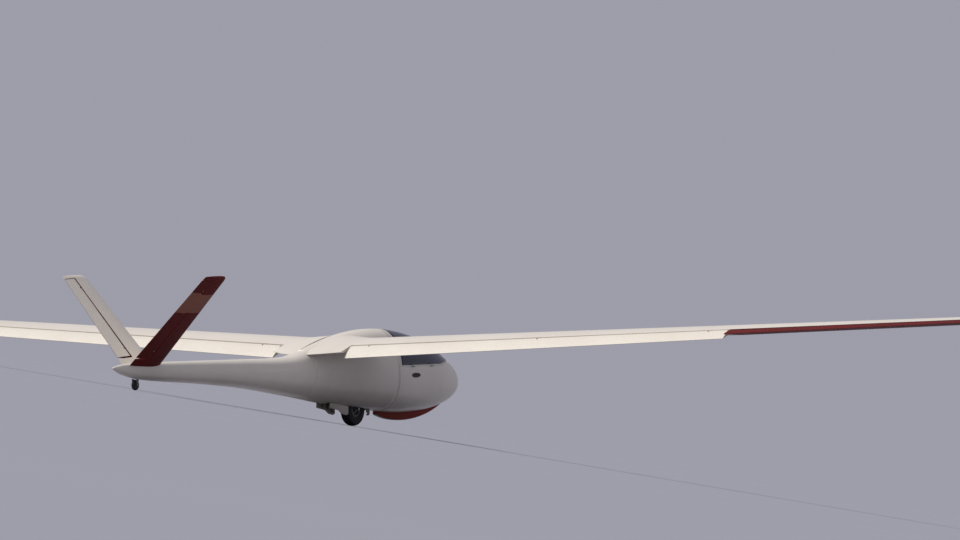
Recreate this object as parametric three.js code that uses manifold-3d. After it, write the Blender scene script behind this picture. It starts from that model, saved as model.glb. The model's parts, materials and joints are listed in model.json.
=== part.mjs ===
// A single-seat V-tailed sailplane: a pod-and-boom fuselage with a side-hinged canopy, a shoulder wing with
// full-depth landing flaps and ailerons, a V tail with ruddervators, a half-sunk main wheel behind a nose skid,
// and a small tail wheel. It is modelled at full size in millimetres and stands as it parks: on its main wheel,
// its tail wheel and the skid under its left wing tip.
import * as THREE from "three";
import { mergeVertices } from "three/addons/utils/BufferGeometryUtils.js";
import Module from "manifold-3d";

const wasm = await Module();
wasm.setup();

// The airframe's own axes: +X forward, +Y to the left wing tip, +Z up. A station is the distance aft of the nose,
// and heights are measured from the straight top line of the tail boom.
const LENGTH = 7160;
const SPAN = 16460;
const GAP = 0.3; // between parts that touch
const RUNNING = 5; // between a moving part and its neighbours

// Fuselage: each row is one cross-section, a rounded oval
const SECTION_POWER = 2.2; // 2 is an ellipse, more is squarer
const RING_POINTS = 32;
const BODY_ROWS = [
  // station, top, bottom, halfWidth, widestAt
  [4, -300, -352, 28, -326],
  [25, -262, -392, 74, -326],
  [70, -217, -434, 120, -325],
  [140, -160, -480, 168, -322],
  [280, -80, -537, 220, -315],
  [450, 8, -581, 252, -300],
  [700, 110, -618, 282, -280],
  [1000, 198, -634, 302, -260],
  [1400, 264, -637, 312, -240],
  [1800, 287, -608, 308, -220],
  [2200, 270, -579, 292, -205],
  [2600, 218, -538, 262, -195],
  [3000, 138, -492, 222, -190],
  [3300, 68, -453, 192, -185],
  [3700, 8, -404, 168, -180],
  [4600, 0, -307, 135, -150],
  [5500, 0, -243, 105, -121],
  [6200, 0, -208, 84, -104],
  [6700, 0, -172, 62, -86],
  [7000, -15, -120, 40, -67],
  [LENGTH, -40, -66, 14, -53],
].map(([station, top, bottom, halfWidth, widestAt]) => ({ station, top, bottom, halfWidth, widestAt }));
const NOSE_JOINT = 280;
const COCKPIT_JOINT = 1700;
const BOOM_JOINT = 3300;
const TAIL_JOINT = 6980;
const WALL = 20; // frames and skin together

// Canopy
const SILL = -128; // level from SILL_FROM aft, and rising to the nose ahead of it
const SILL_FROM = 700;
const SILL_NOSE = -80;
const CANOPY_REAR = 1660; // an upright rear edge, so that the canopy swings clear of the deck behind it
const CANOPY_TOP = 330;
const GLASS = 6;
const RIM = 28; // height of the canopy's frame
const RIM_DEPTH = 16;
const CANOPY_HINGE = { front: 960, rear: 1400, frontY: -302, rearY: -316, z: SILL, radius: 6, knuckle: 24 };

// Wing
const ROOT = { leading: 2150, chord: 1040, z: 95, incidence: THREE.MathUtils.degToRad(3.5) };
const TIP = { leading: 2350, chord: 500, incidence: 0 };
const HALF_SPAN = SPAN / 2;
const DIHEDRAL = THREE.MathUtils.degToRad(2.5);
const WING_THICKNESS = 0.15;
const WING_CAMBER = { height: 0.03, at: 0.4 };
const CHORD_STEPS = [0, 0.005, 0.018, 0.042, 0.08, 0.135, 0.21, 0.31, 0.43, 0.56, 0.68, 0.88, 1];
const HINGE_SHARE = 0.8; // of the chord, for flaps and ailerons
const FAIRING_END = 420;
const FLAP = { start: 440, end: 4952, hinges: [0.05, 0.5, 0.95], lowered: 20 };
const AILERON = { start: 4968, end: 7900, hinges: [0.06, 0.5, 0.94] };
const PANEL_END = 7914;
const TIP_SKID = { length: 190, depth: 62, width: 16 };

// V tail, in its own axes: spans run out along each surface from the line where the two meet
const TAIL = {
  apexZ: -70,
  angle: THREE.MathUtils.degToRad(48),
  rootLeading: 6300,
  rootChord: 610,
  tipLeading: 6320,
  tipChord: 440,
  end: 1262,
  thickness: 0.1,
  hingeShare: 0.62,
};
const RUDDERVATOR = { start: 170, end: TAIL.end - 8, hinges: [0.1, 0.88] };

// Wheels
const MAIN_WHEEL = { station: 2183, z: -576, radius: 190, width: 122, rim: 92, bore: 12.3, axle: 12 };
const TAIL_WHEEL = { station: 6720, z: -233, radius: 55, width: 40, rim: 30, bore: 5.3, axle: 5 };
const WELL = { front: 1955, step: 2411, rear: 2840, halfWidth: 88, roof: -335, rearRoof: -430 };
const GEAR_DOOR = {
  thickness: 7,
  outline: [[2425, -470], [2425, -628], [2470, -642], [2560, -626], [2640, -584], [2820, -556], [2820, -450]],
};

// Cockpit furniture
const FLOOR = { top: -572, thickness: 10, front: 300, rear: 1240 };
const PANEL = { station: 800, depth: 26, top: -34, bottom: -300, halfWidth: 205 };
const DIALS = [
  // y, z, radius
  [-110, -110, 40],
  [0, -100, 40],
  [110, -110, 40],
  [-62, -205, 40],
  [62, -205, 40],
  [0, -268, 24],
].map(([y, z, radius]) => ({ y, z, radius }));

// The paints and materials of the real thing
const paint = (color, roughness, metalness = 0) => new THREE.MeshStandardMaterial({ color, roughness, metalness });
const white = paint("#e9e3da", 0.35);
const red = paint("#7d1f1c", 0.4);
const glass = paint("#3a4660", 0.1);
const metal = paint("#9a9ca0", 0.4, 0.8);
const rubber = paint("#1a1a1c", 0.85);
const cloth = paint("#7a3b2c", 0.9);
const black = paint("#202124", 0.6);
const grey = paint("#8d9096", 0.6);

const airframe = new THREE.Group();

function solidOf(geometry) {
  const bare = geometry.clone();
  bare.deleteAttribute("normal");
  bare.deleteAttribute("uv");
  const merged = mergeVertices(bare, 1e-4);
  const made = new wasm.Manifold(
    new wasm.Mesh({
      numProp: 3,
      vertProperties: Float32Array.from(merged.attributes.position.array),
      triVerts: Uint32Array.from(merged.index.array),
    }),
  );
  return made;
}

function geometryOf(solid) {
  const mesh = solid.getMesh();
  const geometry = new THREE.BufferGeometry();
  geometry.setAttribute("position", new THREE.BufferAttribute(Float32Array.from(mesh.vertProperties), 3));
  geometry.setIndex(new THREE.BufferAttribute(Uint32Array.from(mesh.triVerts), 1));
  return geometry;
}

// Adds a finished solid to the object as one named part
function addPart(name, solid, material, parent = airframe) {
  const mesh = new THREE.Mesh(geometryOf(solid), material);
  mesh.name = name;
  parent.add(mesh);
  return mesh;
}

// A closed skin over rings of points that all have the same count; the ends are flat
function loft(rings, flatten) {
  const count = rings[0].length;
  const points = rings.flat();
  const faces = [];
  for (let r = 0; r < rings.length - 1; r++) {
    for (let p = 0; p < count; p++) {
      const next = (p + 1) % count;
      const [a, b] = [r * count + p, r * count + next];
      faces.push(a, b, b + count, a, b + count, a + count);
    }
  }
  const last = (rings.length - 1) * count;
  for (const [a, b, c] of THREE.ShapeUtils.triangulateShape(rings[0].map(flatten), [])) faces.push(a, b, c);
  for (const [a, b, c] of THREE.ShapeUtils.triangulateShape(rings[rings.length - 1].map(flatten), [])) {
    faces.push(last + a, last + b, last + c);
  }
  const geometry = new THREE.BufferGeometry().setFromPoints(points);
  geometry.setIndex(facingOut(points, faces, rings, flatten));
  return solidOf(geometry);
}

// Turns the caps and the whole skin so that every face points out
function facingOut(points, faces, rings, flatten) {
  const count = rings[0].length;
  const sides = (rings.length - 1) * count * 6;
  const capLength = (faces.length - sides) / 2;
  const flip = (list) => list.flatMap((_, i) => (i % 3 === 0 ? [list[i], list[i + 2], list[i + 1]] : []));
  const skin = faces.slice(0, sides);
  const uses = new Set();
  for (let i = 0; i < skin.length; i += 3) {
    for (let e = 0; e < 3; e++) uses.add(`${skin[i + e]}-${skin[i + ((e + 1) % 3)]}`);
  }
  const fitted = [faces.slice(sides, sides + capLength), faces.slice(sides + capLength)].map((cap) => {
    const clashes = cap.some((_, i) => {
      const follow = i % 3 === 2 ? i - 2 : i + 1;
      return uses.has(`${cap[i]}-${cap[follow]}`);
    });
    return clashes ? flip(cap) : cap;
  });
  const whole = [...skin, ...fitted[0], ...fitted[1]];
  let volume = 0;
  for (let i = 0; i < whole.length; i += 3) {
    volume += points[whole[i]].dot(points[whole[i + 1]].clone().cross(points[whole[i + 2]]));
  }
  return volume < 0 ? flip(whole) : whole;
}

function box(fromStation, toStation, y0, y1, z0, z1) {
  const geometry = new THREE.BoxGeometry(toStation - fromStation, y1 - y0, z1 - z0);
  geometry.translate(-(fromStation + toStation) / 2, (y0 + y1) / 2, (z0 + z1) / 2);
  return solidOf(geometry);
}

// A cylinder between two points
function rod(from, to, radius, sides = 12) {
  const span = to.clone().sub(from);
  const geometry = new THREE.CylinderGeometry(radius, radius, span.length(), sides);
  const turn = new THREE.Quaternion().setFromUnitVectors(new THREE.Vector3(0, 1, 0), span.clone().normalize());
  geometry.applyQuaternion(turn).translate(...from.clone().add(to).multiplyScalar(0.5).toArray());
  return solidOf(geometry);
}

// A plate cut to an outline of [station, z] points and lying across the fuselage from y0 to y1
function sidePlate(outline, y0, y1) {
  const shape = new THREE.Shape(outline.map(([station, z]) => new THREE.Vector2(-station, z)));
  const geometry = new THREE.ExtrudeGeometry(shape, { depth: y1 - y0, bevelEnabled: false });
  return solidOf(geometry.rotateX(Math.PI / 2).translate(0, y1, 0));
}

const at = (station, y, z) => new THREE.Vector3(-station, y, z);
const joined = (solids) => solids.reduce((sum, next) => sum.add(next));

// Fuselage body
const COLUMNS = ["top", "bottom", "halfWidth", "widestAt"];

// The rows are joined by smooth curves through all of them
function rowAt(station) {
  const after = Math.max(1, BODY_ROWS.findIndex((row) => row.station >= station));
  const [a, b] = [BODY_ROWS[after - 1], BODY_ROWS[after]];
  const [before, beyond] = [BODY_ROWS[after - 2] ?? a, BODY_ROWS[after + 1] ?? b];
  const length = b.station - a.station;
  const t = (station - a.station) / length;
  const slope = (p, q, column) => (q[column] - p[column]) / (q.station - p.station);
  const mix = (column) => {
    const [m0, m1] = [slope(before, b, column) * length, slope(a, beyond, column) * length];
    const [t2, t3] = [t * t, t * t * t];
    return (2 * t3 - 3 * t2 + 1) * a[column] + (t3 - 2 * t2 + t) * m0 + (3 * t2 - 2 * t3) * b[column] + (t3 - t2) * m1;
  };
  return { station, ...Object.fromEntries(COLUMNS.map((column) => [column, mix(column)])) };
}

// Each long bay of the round part of the body gets one more row at its middle, and each joint off a row gets its own
const MIDDLES = BODY_ROWS.slice(1).flatMap((row, i) => {
  const before = BODY_ROWS[i];
  return before.station >= 140 && row.station <= 3700 ? [(before.station + row.station) / 2] : [];
});
const SMOOTH_ROWS = [...BODY_ROWS.map((row) => row.station), ...MIDDLES, COCKPIT_JOINT, TAIL_JOINT]
  .sort((a, b) => a - b)
  .map(rowAt);

function bodyRing(row, inset) {
  return Array.from({ length: RING_POINTS }, (_, i) => {
    const angle = (2 * Math.PI * i) / RING_POINTS;
    const [c, s] = [Math.cos(angle), Math.sin(angle)];
    const round = (v) => Math.sign(v) * Math.abs(v) ** (2 / SECTION_POWER);
    const reach = s > 0 ? row.top - inset - row.widestAt : row.widestAt - row.bottom - inset;
    return at(row.station, (row.halfWidth - inset) * round(c), row.widestAt + reach * round(s));
  });
}

const acrossFuselage = (p) => new THREE.Vector2(p.y, p.z);

// The fuselage's solid between two stations, its skin moved in by inset
function bodySolid(from, to, inset = 0) {
  const between = SMOOTH_ROWS.filter((row) => row.station > from && row.station < to);
  const rows = [rowAt(from), ...between, rowAt(to)];
  return loft(
    rows.map((row) => bodyRing(row, inset)),
    acrossFuselage,
  );
}

const NOSE = BODY_ROWS[0].station;
const wholeBody = bodySolid(NOSE, LENGTH);
const outside = bodySolid(NOSE, LENGTH, -GAP); // what parts laid on the skin are cut with

function canopyCutter(rise, sternShift) {
  return sidePlate(
    [
      [NOSE, SILL_NOSE + rise],
      [NOSE_JOINT, SILL_NOSE + rise],
      [SILL_FROM, SILL + rise],
      [CANOPY_REAR + sternShift, SILL + rise],
      [CANOPY_REAR + sternShift, CANOPY_TOP],
      [NOSE, CANOPY_TOP],
    ],
    -400,
    400,
  );
}

function hingeLine() {
  const { front, rear, frontY, rearY, z } = CANOPY_HINGE;
  return [at(front, frontY, z), at(rear, rearY, z)];
}

// One barrel hinge: a middle knuckle on the sill and one each side of it on the canopy
function canopyKnuckles() {
  const [front, rear] = hingeLine();
  const along = rear.clone().sub(front).normalize();
  const { radius, knuckle } = CANOPY_HINGE;
  const barrel = (centre, offset) =>
    rod(
      centre.clone().addScaledVector(along, offset - knuckle / 2 + GAP),
      centre.clone().addScaledVector(along, offset + knuckle / 2 - GAP),
      radius,
      10,
    );
  const leaf = (centre, offset, up) => {
    const mid = centre.clone().addScaledVector(along, offset);
    const [low, high] = up ? [mid.z, mid.z + 12] : [mid.z - 12, mid.z - GAP];
    const half = knuckle / 2 - 2;
    return box(-mid.x - half, -mid.x + half, mid.y - 2, mid.y + 22, low, high);
  };
  const ends = [front, rear];
  return {
    fixed: joined(ends.flatMap((c) => [barrel(c, 0), leaf(c, 0, false)])),
    moving: joined(
      ends.flatMap((c) => [-knuckle, knuckle].flatMap((offset) => [barrel(c, offset), leaf(c, offset, true)])),
    ),
  };
}

function buildFuselage() {
  const knuckles = canopyKnuckles();
  const cabin = bodySolid(NOSE_JOINT + WALL, COCKPIT_JOINT - WALL, WALL);
  const cockpit = bodySolid(NOSE_JOINT + GAP, COCKPIT_JOINT, 0)
    .subtract(cabin)
    .subtract(canopyCutter(-GAP, GAP))
    .add(knuckles.fixed.intersect(box(NOSE_JOINT, COCKPIT_JOINT, -400, 400, -400, SILL + CANOPY_HINGE.radius)));
  addPart("nose_cone", bodySolid(NOSE, NOSE_JOINT), white);
  addPart("cockpit_shell", cockpit, white);
  const { front, step, rear, halfWidth, roof, rearRoof } = WELL;
  const well = sidePlate([[front, -900], [front, roof], [step, roof], [rear, rearRoof], [rear, -900]], -halfWidth, halfWidth);
  addPart("centre_fuselage", bodySolid(COCKPIT_JOINT + GAP, BOOM_JOINT).subtract(well), white);
  addPart("tail_boom", bodySolid(BOOM_JOINT + GAP, TAIL_JOINT), white);
  addPart("boom_end_cap", bodySolid(TAIL_JOINT + GAP, LENGTH), white);

  const rimZone = wholeBody.subtract(canopyCutter(RIM, -RIM));
  const shell = (depth) => bodySolid(NOSE, COCKPIT_JOINT).subtract(bodySolid(NOSE, COCKPIT_JOINT, depth));
  const cover = canopyCutter(0, 0);
  const glazing = shell(GLASS).intersect(canopyCutter(RIM + GAP, -RIM - GAP));
  const frame = shell(RIM_DEPTH).intersect(cover).intersect(rimZone);
  const hinge = new THREE.Group();
  airframe.add(hinge);
  addPart("canopy_glass", glazing, glass, hinge);
  addPart("canopy_frame", frame.add(knuckles.moving), white, hinge);
}

// What lies on the skin: a plate that follows the body's surface
function skinPlate(outline, y0, y1, depth) {
  return sidePlate(outline, y0, y1).intersect(bodySolid(NOSE, LENGTH, -depth)).subtract(outside);
}

function oval(station, z, length, height, points = 16) {
  return Array.from({ length: points }, (_, i) => {
    const angle = (2 * Math.PI * i) / points;
    return [station + (length / 2) * Math.cos(angle), z + (height / 2) * Math.sin(angle)];
  });
}

// The runner's curve by its four control points, [station, z]
const SKID = { curve: [[165, -496], [520, -715], [1250, -785], [1700, -650]], width: 56, shoe: 6, shoeWidth: 40 };

function buildBelly() {
  const { curve, width, shoe, shoeWidth } = SKID;
  const runner = new THREE.CubicBezierCurve(...curve.map(([s, z]) => new THREE.Vector2(s, z)));
  const lower = runner.getPoints(14).map((p) => [p.x, p.y]);
  const [front, rear] = [curve[0][0], curve[3][0]];
  const skid = sidePlate([...lower, [rear, -500], [front, -400]], -width / 2, width / 2);
  addPart("nose_skid", skid.subtract(outside), red);
  const strip = [...lower.map(([s, z]) => [s, z - GAP]), ...lower.map(([s, z]) => [s, z - shoe]).reverse()];
  addPart("skid_shoe", sidePlate(strip, -shoeWidth / 2, shoeWidth / 2).subtract(outside), metal);
  const hookPlate = sidePlate(
    [
      [1822, -500],
      [1822, -640],
      [1850, -660],
      [1880, -655],
      [1880, -645],
      [1856, -640],
      [1880, -625],
      [1880, -500],
    ],
    -8,
    8,
  );
  addPart("tow_hook", hookPlate.subtract(outside), metal);
  for (const [name, side] of [["left_side_vent", 1], ["right_side_vent", -1]]) {
    const [y0, y1] = side > 0 ? [100, 400] : [-400, -100];
    addPart(name, skinPlate(oval(1330, -226, 190, 52), y0, y1, 5), black);
  }
}

// Cockpit furniture is trimmed to the inside of the cabin walls
const cabinRoom = bodySolid(NOSE_JOINT + WALL + GAP, COCKPIT_JOINT - WALL - GAP, WALL + GAP);

function buildCockpit() {
  const { top, thickness } = FLOOR;
  const floor = box(FLOOR.front, FLOOR.rear, -300, 300, top - thickness, top).intersect(cabinRoom);
  addPart("cockpit_floor", floor, grey);

  const seatTop = [
    [1020, -515],
    [1180, -545],
    [1330, -540],
    [1420, -470],
    [1660, 20],
  ];
  const seatUnder = [
    [1679, 20],
    [1679, -20],
    [1440, -500],
    [1345, -562],
    [1180, -562],
    [1020, -533],
  ];
  const bucket = sidePlate([...seatTop, ...seatUnder], -215, 215);
  const foot = [[1040, top + GAP], [1040, -527], [1180, -555], [1225, -555], [1225, top + GAP]];
  const posts = joined([-1, 1].map((side) => sidePlate(foot, side * 150 - 12, side * 150 + 12)));
  const rests = sidePlate([[1300, -700], [1300, -555], [1345, -555], [1345, -700]], -150, 150);
  addPart("seat_bucket", joined([bucket, posts, rests]).intersect(cabinRoom), grey);
  const lift = ([s, z], by) => [s - by * 0.35, z + by];
  const panTop = [lift(seatTop[0], 45), lift(seatTop[1], 40), lift(seatTop[2], 36)];
  const pan = sidePlate([[1026, -516], [1180, -544], [1318, -538.9], ...panTop.reverse()].map(([s, z]) => [s, z + GAP]), -190, 190);
  addPart("seat_cushion", pan.intersect(cabinRoom).subtract(bucket.translate([0, 0, GAP])), cloth);
  const backPad = sidePlate([[1430, -455], [1657, 8], [1600, 30], [1378, -425]], -190, 190);
  addPart("back_cushion", backPad.intersect(cabinRoom).subtract(bucket.translate([2 * GAP, 0, 0])), cloth);
  addPart("headrest", box(1600, 1679, -85, 85, 30, 150).intersect(cabinRoom), cloth);

  const plate = box(PANEL.station, PANEL.station + PANEL.depth, -PANEL.halfWidth, PANEL.halfWidth, PANEL.bottom, PANEL.top);
  const pedestal = box(PANEL.station - 40, PANEL.station + PANEL.depth, -70, 70, top + GAP, PANEL.bottom + 10);
  const bezels = DIALS.map(({ y, z, radius }) =>
    rod(at(PANEL.station + PANEL.depth - 4, y, z), at(PANEL.station + PANEL.depth + 8, y, z), radius, 16),
  );
  addPart("instrument_panel", joined([plate, pedestal, ...bezels]).intersect(cabinRoom), black);

  const stick = [
    rod(at(950, 0, top + GAP), at(950, 0, top + 40), 38),
    rod(at(950, 0, top + 30), at(940, 0, -360), 11),
    rod(at(940, 0, -365), at(925, 0, -255), 17),
  ];
  addPart("control_stick", joined(stick), black);
  const pedals = [-1, 1].flatMap((side) => [
    sidePlate([[470, -545], [486, -545], [456, -390], [440, -390]], side * 95 - 40, side * 95 + 40),
    box(470, 486, side * 95 - 8, side * 95 + 8, top + GAP, -520),
  ]);
  const bar = rod(at(478, -140, -556), at(478, 140, -556), 9);
  addPart("rudder_pedals", joined([...pedals, bar]).intersect(cabinRoom), metal);
  const quadrant = box(880, 1180, 236, 300, -330, -300);
  const lever = joined([rod(at(1000, 250, -310), at(960, 235, -175), 7), rod(at(960, 235, -200), at(945, 230, -140), 15)]);
  addPart("flap_lever", joined([quadrant, lever]).intersect(cabinRoom), black);
}

// Wing surfaces
const wingChord = (span) => ROOT.chord + ((TIP.chord - ROOT.chord) * span) / HALF_SPAN;

// Half thickness of a streamlined section at x, as shares of the chord
function halfThickness(x, thickness) {
  const x2 = x * x;
  const shape = 0.2969 * Math.sqrt(x) - 0.126 * x - 0.3516 * x2 + 0.2843 * x2 * x - 0.1036 * x2 * x2;
  return (thickness / 0.2) * shape + 0.0025 * x;
}

function camberAt(x) {
  const { height, at: p } = WING_CAMBER;
  return x < p ? (height / p ** 2) * (2 * p * x - x * x) : (height / (1 - p) ** 2) * (1 - 2 * p + 2 * p * x - x * x);
}

// A surface knows where each share of its chord lies at each span, and how thick it is there. The wing twists from
// root to tip, and straight lines join the two end sections, so that its hinge lines stay straight.
function wingPoint(side) {
  const ends = [ROOT, TIP].map(({ leading, chord, incidence }) => {
    const [c, s] = [Math.cos(incidence), Math.sin(incidence)];
    return (x, h) => [leading + chord * (x * c + h * s), chord * (h * c - x * s)];
  });
  return (span, x, h) => {
    const [root, tip] = ends.map((end) => end(x, h));
    const [station, rise] = root.map((value, i) => value + ((tip[i] - value) * span) / HALF_SPAN);
    return at(station, side * span, ROOT.z + span * Math.tan(DIHEDRAL) + rise);
  };
}
const wingSurface = (side) => ({
  point: wingPoint(side),
  chord: wingChord,
  half: (x) => halfThickness(x, WING_THICKNESS),
  camber: camberAt,
  hingeShare: HINGE_SHARE,
  flatten: (p) => new THREE.Vector2(p.x, p.z),
});

function tailPoint(side) {
  return (span, x, h) => {
    const share = span / TAIL.end;
    const leading = TAIL.rootLeading + (TAIL.tipLeading - TAIL.rootLeading) * share;
    const chord = TAIL.rootChord + (TAIL.tipChord - TAIL.rootChord) * share;
    const [c, s] = [Math.cos(TAIL.angle), Math.sin(TAIL.angle)];
    const rise = h * chord;
    return at(leading + chord * x, side * (span * c - rise * s), TAIL.apexZ + span * s + rise * c);
  };
}
const tailSurface = (side) => ({
  point: tailPoint(side),
  chord: (span) => TAIL.rootChord + ((TAIL.tipChord - TAIL.rootChord) * span) / TAIL.end,
  half: (x) => halfThickness(x, TAIL.thickness),
  camber: () => 0,
  hingeShare: TAIL.hingeShare,
  flatten: (p) => new THREE.Vector2(p.x, p.z),
});

// Height of the hinge line above the chord, and the radius of the nose that turns about it, in chords
function hingeSeat(surface) {
  const x = surface.hingeShare;
  return { x, h: surface.camber(x), r: surface.half(x) };
}

// A section's outline from chord share x0 back to x1, over the top and back along the bottom
function sectionRing(surface, span, x0, x1, swell = 1) {
  const steps = [x0, ...CHORD_STEPS.filter((x) => x > x0 + 0.004 && x < x1 - 0.03), x1];
  const upper = steps.map((x) => surface.point(span, x, surface.camber(x) + swell * surface.half(x)));
  const lower = steps.map((x) => surface.point(span, x, surface.camber(x) - swell * surface.half(x)));
  const start = x0 === 0 ? lower.slice(1) : lower;
  return [...upper.reverse(), ...start];
}

// Ahead of the hinge: the fixed part ends in a flat wall clear of the moving part's nose
function fixedPart(surface, spans) {
  const { x, r } = hingeSeat(surface);
  const rings = spans.map((span) => sectionRing(surface, span, 0, x - r - RUNNING / surface.chord(span)));
  return loft(rings, surface.flatten);
}

// Behind the hinge: a round nose about the hinge line, then the section's tail
function movingPart(surface, spans) {
  const { x, h, r } = hingeSeat(surface);
  const ring = (span) => {
    const nose = [120, 150, 180, 210, 240].map((degrees) => {
      const angle = THREE.MathUtils.degToRad(degrees);
      return surface.point(span, x + r * Math.cos(angle), h + r * Math.sin(angle));
    });
    const tail = sectionRing(surface, span, x, 1);
    const half = tail.length / 2;
    return [...tail.slice(0, half), ...nose, ...tail.slice(half)];
  };
  return loft(spans.map(ring), surface.flatten);
}

function hingeAxis(surface, from, to) {
  const { x, h } = hingeSeat(surface);
  return [surface.point(from, x, h), surface.point(to, x, h)];
}

// Hinge hardware: ears with a cross pin stand on the fixed part, in slots in the moving part's nose
const EAR = { thickness: 8, pin: 4, pinReach: 13, sides: 8 };

function hingeHardware(surface, from, to, shares) {
  const [start, end] = hingeAxis(surface, from, to);
  const along = end.clone().sub(start).normalize();
  const { x, h, r } = hingeSeat(surface);
  const cutters = [];
  const ears = [];
  for (const share of shares) {
    const span = from + (to - from) * share;
    const centre = surface.point(span, x, h);
    const radius = r * surface.chord(span);
    const forward = surface.point(span, x - 0.1, surface.camber(x - 0.1)).sub(centre);
    forward.addScaledVector(along, -forward.dot(along)).normalize();
    const frame = new THREE.Matrix4()
      .makeBasis(forward, along, forward.clone().cross(along))
      .setPosition(centre);
    const local = (geometry) => solidOf(geometry.applyMatrix4(frame));
    const boxAt = (x0, x1, halfY, halfZ) => {
      const geometry = new THREE.BoxGeometry(x1 - x0, 2 * halfY, 2 * halfZ);
      return local(geometry.translate((x0 + x1) / 2, 0, 0));
    };
    const drum = (rad, halfY) => local(new THREE.CylinderGeometry(rad, rad, 2 * halfY, EAR.sides));
    const earRadius = Math.min(9, radius - 3);
    const reach = radius + RUNNING;
    ears.push(boxAt(0, reach + 6, EAR.thickness / 2, earRadius * 0.8));
    ears.push(drum(earRadius, EAR.thickness / 2));
    ears.push(drum(EAR.pin, EAR.pinReach));
    cutters.push(boxAt(-earRadius - RUNNING, reach, EAR.thickness / 2 + RUNNING, radius * 2));
    cutters.push(drum((EAR.pin + GAP) / Math.cos(Math.PI / EAR.sides), EAR.pinReach + 1));
  }
  return { ears: joined(ears), cutters: joined(cutters) };
}

// Puts a moving part in a group that turns about its hinge line; lowered is its angle as it stands, in degrees
function hingedPart(name, surface, solid, from, to, material, lowered = 0) {
  const [start, end] = hingeAxis(surface, from, to);
  const along = end.clone().sub(start).normalize();
  const turn = new THREE.Quaternion().setFromUnitVectors(new THREE.Vector3(0, 1, 0), along);
  const rest = new THREE.Matrix4().compose(start, turn, new THREE.Vector3(1, 1, 1));
  const hinge = new THREE.Group();
  hinge.position.copy(start);
  hinge.quaternion.copy(turn);
  const leaf = new THREE.Group();
  const side = Math.sign(along.y);
  leaf.rotation.y = -side * THREE.MathUtils.degToRad(lowered);
  hinge.add(leaf);
  airframe.add(hinge);
  const mesh = new THREE.Mesh(geometryOf(solid).applyMatrix4(rest.invert()), material);
  mesh.name = name;
  leaf.add(mesh);
}

// Where a surface's outline is filled out or rounded off: how far its leading and trailing edges move back, as
// shares of the chord, and how much of its thickness it has
const shaped = ([span, leadingBack, trailingBack, thick]) => ({ span, leadingBack, trailingBack, thick });
const ROOT_ROWS = [
  [60, -0.075, 0.17, 1.5],
  [230, -0.03, 0.13, 1.24],
  [330, -0.008, 0.06, 1.07],
  [FAIRING_END, 0, 0, 1],
].map(shaped);
const TIP_ROWS = [
  [PANEL_END + GAP, 0, 0, 1],
  [HALF_SPAN - 150, 0, 0, 1],
  [HALF_SPAN - 70, 0.02, -0.004, 0.93],
  [HALF_SPAN - 20, 0.07, -0.02, 0.74],
  [HALF_SPAN, 0.12, -0.04, 0.5],
].map(shaped);
const FIN_TIP_ROWS = [
  [TAIL.end, 0, 0, 1],
  [TAIL.end + 28, 0.03, -0.01, 0.86],
  [TAIL.end + 44, 0.1, -0.035, 0.5],
].map(shaped);

function shapedRing(surface, { span, leadingBack, trailingBack, thick }) {
  const stretch = 1 + trailingBack - leadingBack;
  const moved = { ...surface, point: (y, x, h) => surface.point(y, leadingBack + x * stretch, h) };
  return sectionRing(moved, span, 0, 1, thick);
}

function buildWing(hand, side) {
  const surface = wingSurface(side);
  const flaps = hingeHardware(surface, FLAP.start, FLAP.end, FLAP.hinges);
  const ailerons = hingeHardware(surface, AILERON.start, AILERON.end, AILERON.hinges);
  const panel = fixedPart(surface, [FAIRING_END + GAP, PANEL_END]).add(flaps.ears).add(ailerons.ears);
  const fairing = loft(ROOT_ROWS.map((row) => shapedRing(surface, row)), surface.flatten);
  addPart(`${hand}_root_fairing`, fairing.subtract(outside), white);
  addPart(`${hand}_wing`, panel, white);
  const flap = movingPart(surface, [FLAP.start, FLAP.end]).subtract(flaps.cutters);
  hingedPart(`${hand}_flap`, surface, flap, FLAP.start, FLAP.end, white, FLAP.lowered);
  const aileron = movingPart(surface, [AILERON.start, AILERON.end]).subtract(ailerons.cutters);
  hingedPart(`${hand}_aileron`, surface, aileron, AILERON.start, AILERON.end, red);
  const tip = loft(TIP_ROWS.map((row) => shapedRing(surface, row)), surface.flatten);
  addPart(`${hand}_wing_tip`, tip, white);
  buildTipSkid(hand, side, surface, tip);
}

function buildTipSkid(hand, side, surface, tip) {
  const span = HALF_SPAN - 60;
  const foot = surface.point(span, 0.45, 0);
  const arc = Array.from({ length: 9 }, (_, i) => {
    const angle = Math.PI * (i / 8);
    return [-foot.x - (TIP_SKID.length / 2) * Math.cos(angle), foot.z - 25 - TIP_SKID.depth * Math.sin(angle)];
  });
  const [y0, y1] = [foot.y - TIP_SKID.width / 2, foot.y + TIP_SKID.width / 2];
  const bow = sidePlate([...arc, [-foot.x + TIP_SKID.length / 2, foot.z], [-foot.x - TIP_SKID.length / 2, foot.z]], y0, y1);
  addPart(`${hand}_tip_skid`, bow.subtract(tip.translate([0, 0, -GAP])), metal);
}

function buildTail(hand, side) {
  const surface = tailSurface(side);
  const { start, end, hinges } = RUDDERVATOR;
  const hardware = hingeHardware(surface, start, end, hinges);
  const front = fixedPart(surface, [start - 30, TAIL.end + 1]);
  const root = loft([sectionRing(surface, 0, 0, 1), sectionRing(surface, start - 22, 0, 1)], surface.flatten);
  const tip = loft(FIN_TIP_ROWS.map((row) => shapedRing(surface, row)), surface.flatten);
  const halfSpace = box(6000, 7200, side > 0 ? GAP / 2 : -1500, side > 0 ? 1500 : -GAP / 2, -500, 1500);
  const fin = joined([front, root, tip]).intersect(halfSpace).subtract(outside).add(hardware.ears);
  addPart(`${hand}_fin`, fin, white);
  const moving = movingPart(surface, [start, end]).subtract(hardware.cutters);
  hingedPart(`${hand}_ruddervator`, surface, moving, start, end, red);
}

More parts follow.
